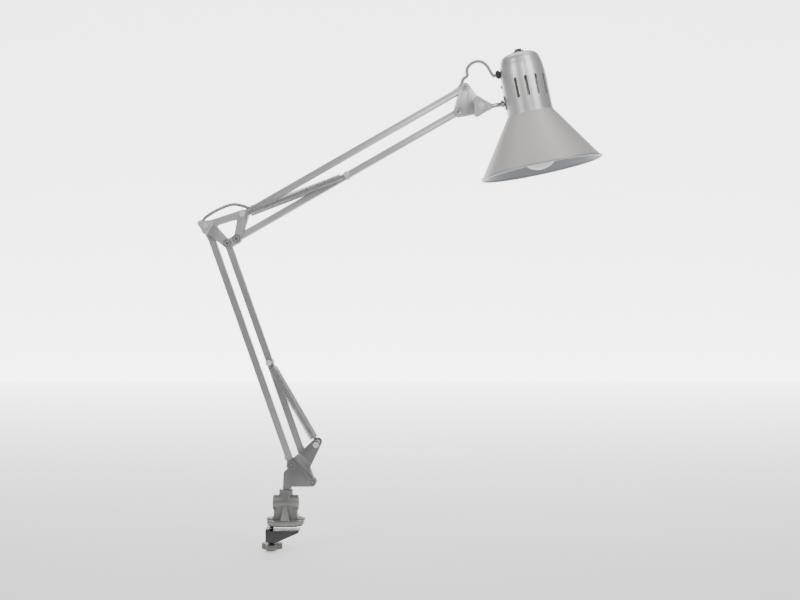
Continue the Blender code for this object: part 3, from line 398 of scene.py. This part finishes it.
CAP_OUTER = [(0.0, 0.0), (0.0001, 0.0080), (0.0008, 0.0140), (0.0024, 0.0195), (0.0041, 0.0232),
             (0.0068, 0.0261), (0.0106, 0.0279), (0.0148, 0.0289), (0.0210, 0.0304),
             (0.0320, 0.0315), (0.0450, 0.0320), (0.0843, 0.0322), (0.0848, 0.0321), (0.0851, 0.0318)]
SHELL_WALL = 0.0006
SLOT_WIDTH = 0.0038
SLOT_TOP = 0.0376       # from the crown down to a slot's upper end
SLOT_BOTTOM = 0.0663
SLOT_STEP = 26.4        # degrees round the cap from slot to slot
SLOTS = 10
ROD_HOLE_R = 0.0035
GROMMET_DROP = 0.0245   # from the crown down to the cord's grommet
GROMMET_HOLE_R = 0.0043
SWITCH_WINDOW = (0.0120, 0.0148, 0.0080)
SHADE_LENGTH = 0.1665
RIM_R = 0.0862
RIM_BEAD_R = 0.0016
NECK_R = 0.0324         # the cone's radius where it starts below the cap
NECK_ALONG = 0.0864
COLLAR_R = 0.0308       # the collar that slips inside the cap
COLLAR_ALONG = 0.0780


def inset(profile, wall):
    """The profile moved inward by the wall, square to its own slope."""
    moved = []
    for i, point in enumerate(profile):
        slope = (profile[min(i + 1, len(profile) - 1)] - profile[max(i - 1, 0)]).normalized()
        moved.append(Vector((point[0] + slope[1] * wall, max(0.0, point[1] - slope[0] * wall))))
    moved[0] = Vector((wall, 0.0))
    return moved


def slot_cutter(angle):
    """Round-ended slot through the cap's wall."""
    bm = bmesh.new()
    outward = ROD_DIR * cos(angle) + Y_AXIS * sin(angle)
    side = HEAD_UP.cross(outward)
    half = SLOT_WIDTH / 2
    outline = []
    for centre, start in ((SLOT_TOP + half, 0), (SLOT_BOTTOM - half, 180)):
        for step in range(9):
            turn = radians(start + step * 22.5)
            outline.append(side * (half * cos(turn)) + HEAD_UP * (half * sin(turn) - centre))
    rings = [[bm.verts.new(HEAD_CROWN + p + outward * reach) for p in outline] for reach in (0.022, 0.045)]
    skin(bm, rings)
    bm.faces.new(rings[0])
    bm.faces.new(rings[1])
    return bm


def cap():
    """Spun cap with its slots, the rod's and the cord's holes, and the switch's window in the crown."""
    outer = smooth_route([Vector(point) for point in CAP_OUTER], 4)
    inner = inset(outer, SHELL_WALL)
    inner[-1][0] = outer[-1][0]
    bm = bmesh.new()
    turned(bm, outer + inner[::-1], HEAD_CROWN, -HEAD_UP, 128)
    obj = add_piece("cap_shell", bm, "cap_lacquer", None, ("shade_cap",))
    for i in range(SLOTS):
        carve(obj, slot_cutter(radians((i - (SLOTS - 1) / 2) * SLOT_STEP)))
    holes = ((TILT, ROD_DIR, ROD_HOLE_R), (HEAD_CROWN - HEAD_UP * GROMMET_DROP, -ROD_DIR, GROMMET_HOLE_R))
    for origin, way, radius in holes:
        hole = bmesh.new()
        turned(hole, [(0.020, 0), (0.020, radius), (0.045, radius), (0.045, 0)], origin, way, 24)
        carve(obj, hole)
    window = bmesh.new()
    block(window, facing(HEAD_CROWN, ROD_DIR, Y_AXIS), SWITCH_WINDOW)
    carve(obj, window)
    smooth(obj.data, 35)
    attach(obj, "shade")


def cone():
    """Straight cone with a collar; its inner face, in a darker bluish grey that paints in the shade inside
    the cup; and the rolled bead at its rim, darker than the cone as painted shade along the rim.
    """
    bead_along = SHADE_LENGTH - RIM_BEAD_R
    bead_radius = RIM_R - RIM_BEAD_R
    slope = (bead_radius - NECK_R) / (bead_along - NECK_ALONG)
    steps = [NECK_ALONG + (bead_along - NECK_ALONG) * k / 14 for k in range(15)]
    outer = [(COLLAR_ALONG, COLLAR_R), (0.0856, COLLAR_R), (0.0858, 0.0320)]
    outer += [(along, NECK_R + (along - NECK_ALONG) * slope) for along in steps]
    inner = [(along + SHELL_WALL, radius - SHELL_WALL) for along, radius in outer[3:]]
    collar = [(COLLAR_ALONG, COLLAR_R - SHELL_WALL), (0.0860, COLLAR_R - SHELL_WALL)]
    inside_collar = (COLLAR_ALONG, COLLAR_R - SHELL_WALL / 2)
    inside_rim = (bead_along, bead_radius - SHELL_WALL / 2)
    bm = bmesh.new()
    turned(bm, [inside_collar] + outer + [inside_rim], HEAD_CROWN, -HEAD_UP, 128)
    add_piece("cone_outside", bm, "cone_lacquer", "shade", ("shade_cone",))
    # The inner face has a darker finish than the outside: painted shade inside the cup.
    bm = bmesh.new()
    turned(bm, collar + inner[1:], HEAD_CROWN, -HEAD_UP, 128)
    add_piece("cone_inside_shaded", bm, "cone_inside_shaded", "shade")
    # The bead's darker finish is painted shade along the rim.
    bead = [(bead_along + RIM_BEAD_R * sin(radians(a)), bead_radius + RIM_BEAD_R * cos(radians(a)))
            for a in range(0, 360, 20)]
    bm = bmesh.new()
    turned(bm, bead, HEAD_CROWN, -HEAD_UP, 128, closed=True)
    add_piece("cone_rim", bm, "rim_bead_shaded", "shade")


def bulb():
    """Thin frosted shell with its neck."""
    centre = 0.1375
    radius = 0.0288
    outer = [(0.0793, 0.0), (0.0793, 0.0133), (0.0880, 0.0148), (0.1000, 0.0192), (0.1110, 0.0240)]
    outer += [(centre - radius * cos(radians(a)), radius * sin(radians(a))) for a in range(45, 180, 9)]
    outer += [(centre + radius, 0.0)]
    bm = bmesh.new()
    turned(bm, outer, HEAD_CROWN, -HEAD_UP, 64)
    add_piece("bulb_envelope", bm, "frosted_glass", "shade", ("bulb_glass",), 60)


def holder():
    """Lampholder with a ribbed skirt."""
    bm = bmesh.new()
    profile = [(0.0171, 0.0), (0.0171, 0.0134), (0.0177, 0.0142), (0.0211, 0.0160), (0.0340, 0.0192)]
    for k in range(9):
        along = 0.0350 + k * 0.0044
        profile += [(along, 0.0193), (along + 0.0006, 0.0200)]
        profile += [(along + 0.0028, 0.0200), (along + 0.0034, 0.0193)]
    profile += [(0.0774, 0.0200), (0.0780, 0.0196), (0.0780, 0.0170), (0.0500, 0.0140), (0.0500, 0.0)]
    turned(bm, profile, HEAD_CROWN, -HEAD_UP, 72)
    add_piece("holder_body", bm, "cream_plastic", "shade", ("lampholder",))


# ---- Screws, pins, knobs ------------------------------------------------------------------

SCREW_HEAD_R = 0.0050
SCREW_HEAD_TALL = 0.0026
CROSS_DEPTH = 0.0013
KNOB_BORE = 0.0028
KNOB_FRONT = -0.0205    # in Y, like the other layers of a knob
PIN_REACH = 0.0184      # from the middle plane to a pin's cap


def screw_cross(centre, out, depth):
    """Cross of two blocks whose arms lie across the head."""
    bm = bmesh.new()
    side, up = across(out)
    for turn in (radians(28), radians(118)):
        right = side * cos(turn) + up * sin(turn)
        block(bm, facing(centre, right, out), (SCREW_HEAD_R * 1.15, depth * 2, SCREW_HEAD_R * 0.28))
    return bm


def pan_head(bm, seat, out):
    """Domed head with a thin flange, standing on its seat."""
    shares = [(0.0, 0.0), (0.0, 1.0), (0.16, 1.0), (0.18, 0.90), (0.42, 0.89), (0.66, 0.80), (0.84, 0.64),
              (0.96, 0.40), (1.0, 0.0)]
    profile = [(SCREW_HEAD_TALL * along, SCREW_HEAD_R * radius) for along, radius in shares]
    turned(bm, profile, seat, out, 48)


def lock_nut(bm, seat, out):
    """Hexagon with a round collar and the screw's end."""
    hexagon = [(0.0, 0.0), (0.0, 0.0040), (0.0004, 0.0044), (0.0022, 0.0044), (0.0026, 0.0040), (0.0026, 0.0)]
    collar = [(0.0026, 0.0036), (0.0032, 0.0035), (0.0034, 0.0031), (0.0034, 0.0022), (0.0030, 0.0021)]
    turned(bm, hexagon, seat, out, 6)
    turned(bm, collar, seat, out, 32)
    turned(bm, [(0.0020, 0.0020), (0.0040, 0.0020), (0.0042, 0.0017), (0.0042, 0.0)], seat, out, 24)


def pivot_screw(node, point, body):
    """A screw with its cross, a dark plate at the bottom of the cross as painted shade, a washer under its
    head, and a lock nut at the rear.
    """
    front = point - Y_AXIS * PLATE_FACE
    top = front - Y_AXIS * SCREW_HEAD_TALL
    shank = [(-2 * PLATE_FACE, 0.0), (-2 * PLATE_FACE, PIN_R), (0.0004, PIN_R), (0.0004, 0.0)]
    bm = bmesh.new()
    pan_head(bm, front, -Y_AXIS)
    turned(bm, shank, front, -Y_AXIS, 24)
    obj = add_piece(f"{node}_head", bm, "screw_chrome", None, (node,))
    carve(obj, screw_cross(top, -Y_AXIS, CROSS_DEPTH))
    smooth(obj.data, 35)
    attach(obj, body)
    # Dark plate at the bottom of the cross: painted shade in the hollow.
    shaded_cross_floor = screw_cross(top + Y_AXIS * 0.0010, -Y_AXIS, 0.0002)
    add_piece(f"{node}_recess", shaded_cross_floor, "shaded_recess", body)
    ring = [(-0.0001, 0.0044), (-0.0001, 0.0057), (0.0002, 0.0057), (0.0004, 0.0055), (0.0004, 0.0044)]
    bm = bmesh.new()
    turned(bm, ring, front, -Y_AXIS, 48, closed=True)
    add_piece(f"{node}_washer", bm, "washer", body)
    bm = bmesh.new()
    lock_nut(bm, point + Y_AXIS * PLATE_FACE, Y_AXIS)
    add_piece(f"{node}_nut", bm, "chrome", body)


def pivot_screws():
    pivot_screw("base_back_screw", BASE_BACK, "base_bracket")
    pivot_screw("base_front_screw", BASE_FRONT, "base_bracket")
    pivot_screw("elbow_lower_screw", ELBOW_FRONT, "elbow")
    pivot_screw("elbow_upper_screw", UPPER_BACK, "elbow")
    pivot_screw("head_top_screw", HEAD_TOP, "head_bracket")
    pivot_screw("head_bottom_screw", HEAD_BOTTOM, "head_bracket")


def cap_screw():
    """Small domed screw with a round socket."""
    bm = bmesh.new()
    seat = HEAD_CROWN - HEAD_UP * 0.0430 - ROD_DIR * 0.0322
    profile = [(0.0, 0.0), (0.0, 0.0023), (0.0003, 0.0023), (0.0009, 0.0021), (0.0014, 0.0016),
               (0.0016, 0.0011), (0.0015, 0.0009), (0.0008, 0.0009), (0.0008, 0.0)]
    turned(bm, profile, seat, -ROD_DIR, 48)
    add_piece("cap_screw_head", bm, "chrome", "shade", ("cap_screw",))


def spring_pins():
    """Pins along Y with a domed cap at each end."""
    places = {"lower_spring_pin": (LOWER_SPRING_PIN, "lower_front_bar"),
              "upper_spring_anchor": (UPPER_TOP, "elbow"),
              "upper_spring_pin": (UPPER_SPRING_PIN, "upper_bottom_bar")}
    dome = [(0.0017, 0.0), (0.0016, 0.0016), (0.0013, 0.0030), (0.0008, 0.0039), (0.0002, 0.0043),
            (0.0, 0.0042), (0.0, PIN_R)]
    end = [(-PIN_REACH - along, radius) for along, radius in dome]
    whole = end + [(-along, radius) for along, radius in reversed(end)]
    for node, (point, body) in places.items():
        bm = bmesh.new()
        turned(bm, whole, point, Y_AXIS, 48)
        add_piece(f"{node}_domed", bm, "pale_plastic", body, (node,))
    for label, side in (("front", -1), ("rear", 1)):
        bm = bmesh.new()
        profile = [(0.0088, 0.0), (0.0088, 0.0028), (0.0091, 0.0033), (0.0098, 0.0034), (0.0102, 0.0031),
                   (0.0102, PIN_R), (0.01925, PIN_R), (0.01925, 0.0042), (0.01945, 0.0043),
                   (0.0200, 0.0039), (0.0205, 0.0030), (0.0208, 0.0016), (0.0209, 0.0)]
        turned(bm, profile, LOWER_ANCHOR, Y_AXIS * side, 48)
        node = f"lower_anchor_{label}"
        add_piece(f"{node}_domed", bm, "pale_plastic", "base_bracket", (node,))


def three_cornered(reach, corner_r, first):
    """Outline of a rounded triangle with slightly hollow sides, as (right, up) pairs."""
    outline = []
    for k in range(3):
        heading = first + k * 2 * pi / 3
        middle = Vector((cos(heading), sin(heading))) * (reach - corner_r)
        for step in range(-5, 6):
            angle = heading + step * radians(11.5)
            outline.append(middle + Vector((cos(angle), sin(angle))) * corner_r)
        side = heading + pi / 3
        flat = (reach - corner_r) * cos(pi / 3) + corner_r - 0.0006
        outline.append(Vector((cos(side), sin(side))) * flat)
    return outline


def knob_body(bm, point, outline, reach):
    """Moulded body with rounded edges, from its front back to the blind bore for the bolt."""
    layers = ((-0.0135, 0.0014), (-0.0138, 0.0006), (-0.0144, 0.0), (-0.0193, 0.0), (-0.0200, 0.0004),
              (-0.0204, 0.0010), (KNOB_FRONT, 0.0018))
    rings = []
    for y in (-0.0175, -0.0135):
        rings.append([bm.verts.new(point + Vector((p.x, 0, p.y)).normalized() * KNOB_BORE + Y_AXIS * y)
                      for p in outline])
    for y, drawn_in in layers:
        share = 1 - drawn_in / reach
        rings.append([bm.verts.new(point + Vector((p.x * share, y, p.y * share))) for p in outline])
    skin(bm, rings)
    bm.faces.new(rings[0])
    bm.faces.new(rings[-1])


def side_knob(node, point, reach, corner_r, first, hub_r, back, cap_r):
    """Three-cornered knob with a hub behind it, and a domed cap in a raised ring in front."""
    hub = [(-0.0140, KNOB_BORE), (-0.0140, hub_r), (back - 0.0004, hub_r), (back, hub_r - 0.0004),
           (back, KNOB_BORE)]
    ring = [(-0.0203, cap_r + 0.0010), (-0.0207, cap_r + 0.0008), (-0.0207, cap_r + 0.0002), (-0.0203, cap_r)]
    dome = [(-0.0222, 0.0), (-0.0221, cap_r * 0.35), (-0.0217, cap_r * 0.65), (-0.0211, cap_r * 0.88),
            (-0.0204, cap_r), (-0.0195, cap_r), (-0.0195, 0.0)]
    bm = bmesh.new()
    knob_body(bm, point, three_cornered(reach, corner_r, first), reach)
    turned(bm, hub, point, Y_AXIS, 48, closed=True)
    turned(bm, ring, point, Y_AXIS, 48)
    add_piece(f"{node}_moulded", bm, "grey_plastic", node, (node,))
    bm = bmesh.new()
    turned(bm, dome, point, Y_AXIS, 48)
    add_piece(f"{node}_dome", bm, "pale_plastic", node, (f"{node}_cap",))


def side_knobs():
    """One corner of the elbow's knob points down, and one of the head's larger knob points along +X."""
    side_knob("elbow_knob", ELBOW, reach=0.0115, corner_r=0.0046, first=radians(30), hub_r=0.0062,
              back=-0.00690, cap_r=0.0037)
    side_knob("head_knob", TILT, reach=0.0158, corner_r=0.0047, first=0.0, hub_r=0.0072,
              back=-0.00470, cap_r=0.0053)


def clamp_thread():
    """Clamp screw with its thread cut as a true helix."""
    pitch = 0.00125
    low = -0.0330
    high = 0.0090
    steps = int((high - low) / pitch * 8)
    sides = 32
    bm = bmesh.new()
    origin = Vector((CLAMP_SCREW_X, 0, 0))
    rings = [[bm.verts.new(origin + Vector((0, 0, low)))]]
    for k in range(steps + 1):
        z = low + (high - low) * k / steps
        ring = []
        for i in range(sides):
            angle = 2 * pi * i / sides
            phase = z / pitch - i / sides
            flank = abs(2 * (phase - floor(phase)) - 1)
            radius = 0.0034 - 0.00062 * flank
            radius = min(radius, 0.0022 + (high - z))
            ring.append(bm.verts.new(origin + Vector((radius * cos(angle), radius * sin(angle), z))))
        rings.append(ring)
    rings.append([bm.verts.new(origin + Vector((0, 0, high)))])
    skin(bm, rings)
    add_piece("clamp_thread", bm, "chrome", "clamp_screw", ("clamp_screw",), 70)


# ---- Springs ------------------------------------------------------------------------------


def spring_line(length):
    """Centre line of the wire in (along, side, out): hook, coil, hook."""
    reach = PIN_R + SPRING_WIRE_R + 0.0001
    coil_r = SPRING_R - SPRING_WIRE_R
    hook = [(reach * cos(radians(a)), reach * sin(radians(a)), 0.0) for a in range(-150, 121, 15)]
    hook += [(0.0030, 0.0030, 0.0), (0.0052, 0.0017, 0.0), (0.0070, 0.0004, 0.0), (0.0082, 0.0010, 0.0),
             (0.0088, 0.0028, 0.0)]
    turns = round((length - 2 * SPRING_HOOK) / SPRING_PITCH)
    steps = turns * 14
    coil = []
    for k in range(steps + 1):
        angle = 2 * pi * k / 14
        along = SPRING_HOOK + (length - 2 * SPRING_HOOK) * k / steps
        coil.append((along, coil_r * cos(angle), coil_r * sin(angle)))
    return hook + coil + [(length - a, s, o) for a, s, o in reversed(hook)]


def wire_places(line, along):
    """Each point of the wire, with two directions square to the wire there."""
    places = []
    for i, point in enumerate(line):
        heading = (line[min(i + 1, len(line) - 1)] - line[max(i - 1, 0)]).normalized()
        out = heading.cross(along if abs(heading.dot(along)) < 0.9 else Y_AXIS).normalized()
        places.append((point, out, heading.cross(out)))
    return places


def spring(node, start, end, y):
    """Coil spring in short lengths, from its anchor on one body to its pin on the other."""
    start = start + Y_AXIS * y
    end = end + Y_AXIS * y
    length = (end - start).length
    along = (end - start) / length
    side = Y_AXIS.cross(along)
    line = [start + along * a + side * s + Y_AXIS * o for a, s, o in spring_line(length)]
    shares = [(point - start).dot(along) / length for point in line]
    places = wire_places(line, along)
    limits = [k / SPRING_PIECES for k in range(SPRING_PIECES + 1)]
    first = 0
    for k in range(SPRING_PIECES):
        last = first + 1
        while last < len(line) - 1 and (shares[last] < limits[k + 1] or k == SPRING_PIECES - 1):
            last += 1
        bm = bmesh.new()
        swept(bm, places[first:last + 1], SPRING_WIRE_R, SPRING_WIRE_R, 7)
        stands_for = (node,) if k == 0 else ()
        obj = add_piece(f"{node}_{k}", bm, "spring_steel", None, stands_for, 80)
        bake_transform(obj)
        first = last


def springs():
    """The pair of springs of each arm, one in front of its bars and one behind."""
    for label, y in (("front", -SPRING_Y), ("rear", SPRING_Y)):
        spring(f"lower_spring_{label}", LOWER_ANCHOR, LOWER_SPRING_PIN, y)
        spring(f"upper_spring_{label}", UPPER_TOP, UPPER_SPRING_PIN, y)


# ---- Cord ---------------------------------------------------------------------------------

def cord(node, points, cuts):
    """Flat cord cut at the given shares of its length, so that each length spans one joint."""
    route = smooth_route(points, 10)
    places = []
    for i, point in enumerate(route):
        heading = (route[min(i + 1, len(route) - 1)] - route[max(i - 1, 0)]).normalized()
        places.append((point, Y_AXIS.cross(heading).normalized(), Y_AXIS))
    limits = [0] + [int(share * (len(route) - 1)) for share in cuts] + [len(route) - 1]
    for k, (first, last) in enumerate(zip(limits, limits[1:])):
        bm = bmesh.new()
        swept(bm, places[first:last + 1], CORD_HALF_TALL, CORD_HALF_DEEP, 16)
        obj = add_piece(f"{node}_{k}", bm, "cord_jacket", None, (node,) if k == 0 else (), 60)
        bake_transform(obj)


def on_bar(point, direction, pairs):
    """Points given along a bar from its pivot and square to it."""
    square = direction.cross(Y_AXIS)
    return [point + direction * along + square * off for along, off in pairs]


def cords():
    """The cord's two free loops. Their routes are the CAD part's, with the elbow's a little rounder."""
    grommet = HEAD_CROWN - ROD_DIR * 0.0362 - HEAD_UP * GROMMET_DROP
    points = [grommet + ROD_DIR * 0.0107, grommet, grommet - ROD_DIR * 0.0040]
    points += [grommet + Vector((x, 0, z)) for x, z in (
        (-0.0081, 0.0045), (-0.0126, 0.0122), (-0.0190, 0.0178), (-0.0262, 0.0192), (-0.0338, 0.0168),
        (-0.0396, 0.0112), (-0.0412, 0.0050), (-0.0406, -0.0010))]
    points += on_bar(HEAD_TOP, -UPPER_DIR, [(-0.0042, -0.0118), (0.0010, -0.0072), (0.0050, -0.0052),
                                            (0.0095, -0.0030), (0.0140, -0.0013), (0.0185, -0.0004),
                                            (0.0235, 0.0)])
    cord("cord_head_loop", points, (0.24, 0.70))
    points = on_bar(UPPER_TOP, UPPER_DIR, [(0.0235, 0.0), (0.0185, 0.0005), (0.0150, 0.0013),
                                           (0.0120, 0.0029), (0.0092, 0.0056), (0.0066, 0.0092)])
    points += [ELBOW + Vector((x, 0, z)) for x, z in (
        (0.0468, 0.0298), (0.0402, 0.0312), (0.0332, 0.0309), (0.0255, 0.0287), (0.0170, 0.0251),
        (0.0085, 0.0207), (0.0013, 0.0162), (-0.0046, 0.0114))]
    points += on_bar(ELBOW, -LOWER_DIR, [(-0.0060, -0.0070), (-0.0015, -0.0078), (0.0025, -0.0063),
                                         (0.0070, -0.0034), (0.0115, -0.0015), (0.0170, -0.0003),
                                         (0.0235, 0.0)])
    cord("cord_elbow_loop", points, (0.52,))


# ---- Studio -------------------------------------------------------------------------------

WALL_GLOW = 3.3
FLOOR_HEIGHT = -0.0380      # just below the clamp knob


def studio_floor(height):
    """Pale floor, faintly cloudy, that brightens towards the wall."""
    look = {"colour": grey(0.88), "rough": 0.9, "cloud": 2.0, "spread": 0.01, "grain": 60.0, "relief": 0.02,
            "fleck_amount": 0.0}
    material = make_finish("floor", look)
    tree = material.node_tree
    surface = tree.nodes["Principled BSDF"]
    place = tree.nodes.new("ShaderNodeTexCoord")
    split = tree.nodes.new("ShaderNodeSeparateXYZ")
    tree.links.new(place.outputs["Object"], split.inputs["Vector"])
    distance = tree.nodes.new("ShaderNodeMapRange")
    distance.inputs["From Min"].default_value = -1.0
    distance.inputs["From Max"].default_value = 2.6
    distance.inputs["To Min"].default_value = 0.30
    distance.inputs["To Max"].default_value = WALL_GLOW * 0.86
    distance.interpolation_type = "SMOOTHSTEP"
    tree.links.new(split.outputs["Y"], distance.inputs["Value"])
    surface.inputs["Emission Color"].default_value = (1, 1, 1, 1)
    tree.links.new(distance.outputs["Result"], surface.inputs["Emission Strength"])
    stage_block("floor", Vector((0.2, 0.0, height - 0.005)), (12.0, 12.0, 0.01), material)


def stage_block(name, centre, size, material):
    bm = bmesh.new()
    block(bm, Matrix.Translation(centre), size)
    mesh = bpy.data.meshes.new(name)
    bm.to_mesh(mesh)
    bm.free()
    mesh.materials.append(material)
    obj = bpy.data.objects.new(name, mesh)
    bpy.context.scene.collection.objects.link(obj)


def lamp_light(name, place, target, power, size):
    data = bpy.data.lights.new(name, "AREA")
    data.energy = power
    data.shape = "RECTANGLE"
    data.size = size[0]
    data.size_y = size[1]
    obj = bpy.data.objects.new(name, data)
    obj.location = place
    obj.rotation_euler = (Vector(target) - Vector(place)).to_track_quat("-Z", "Y").to_euler()
    bpy.context.scene.collection.objects.link(obj)


def glowing_wall():
    """Bright white wall behind the lamp, its glow faintly uneven."""
    material = bpy.data.materials.new("wall")
    material.use_nodes = True
    tree = material.node_tree
    surface = tree.nodes["Principled BSDF"]
    glow = ramp(tree, noise(tree, 0.8), 0.2, 0.8, grey(0.97), grey(1.0))
    tree.links.new(glow, surface.inputs["Base Color"])
    tree.links.new(glow, surface.inputs["Emission Color"])
    surface.inputs["Emission Strength"].default_value = WALL_GLOW
    stage_block("wall", Vector((0.16, 3.2, 1.06)), (5.4, 0.01, 2.2), material)


def studio():
    """Floor, wall, a dim world and four soft lights."""
    studio_floor(FLOOR_HEIGHT)
    glowing_wall()
    world = bpy.data.worlds.new("studio")
    world.use_nodes = True
    world.node_tree.nodes["Background"].inputs["Color"].default_value = (0.96, 0.98, 1.0, 1)
    world.node_tree.nodes["Background"].inputs["Strength"].default_value = 0.20
    bpy.context.scene.world = world
    head = (0.30, 0.0, 0.55)
    lamp_light("key", (0.72, -0.62, 1.02), head, 4.8, (0.35, 0.6))
    lamp_light("front_strip", (0.26, -0.95, 0.98), head, 2.0, (0.12, 0.5))
    lamp_light("left_fill", (-0.42, -0.62, 0.86), (0.02, 0.0, 0.42), 3.4, (0.30, 0.5))
    lamp_light("top", (0.2, 0.1, 1.25), (0.15, 0.0, 0.5), 3.6, (0.9, 0.5))


def camera():
    """Level camera in front, looking along +Y."""
    data = bpy.data.cameras.new("camera")
    data.lens = 49.3
    data.sensor_width = 36.0
    obj = bpy.data.objects.new("camera", data)
    obj.location = (0.1595, -1.533, 0.3136)
    obj.rotation_euler = (radians(90), 0, 0)
    bpy.context.scene.collection.objects.link(obj)
    bpy.context.scene.camera = obj


paint_nodes()
soften_nodes()
cap()
cone()
bulb()
holder()
pivot_screws()
cap_screw()
spring_pins()
side_knobs()
clamp_thread()
springs()
cords()
studio()
camera()
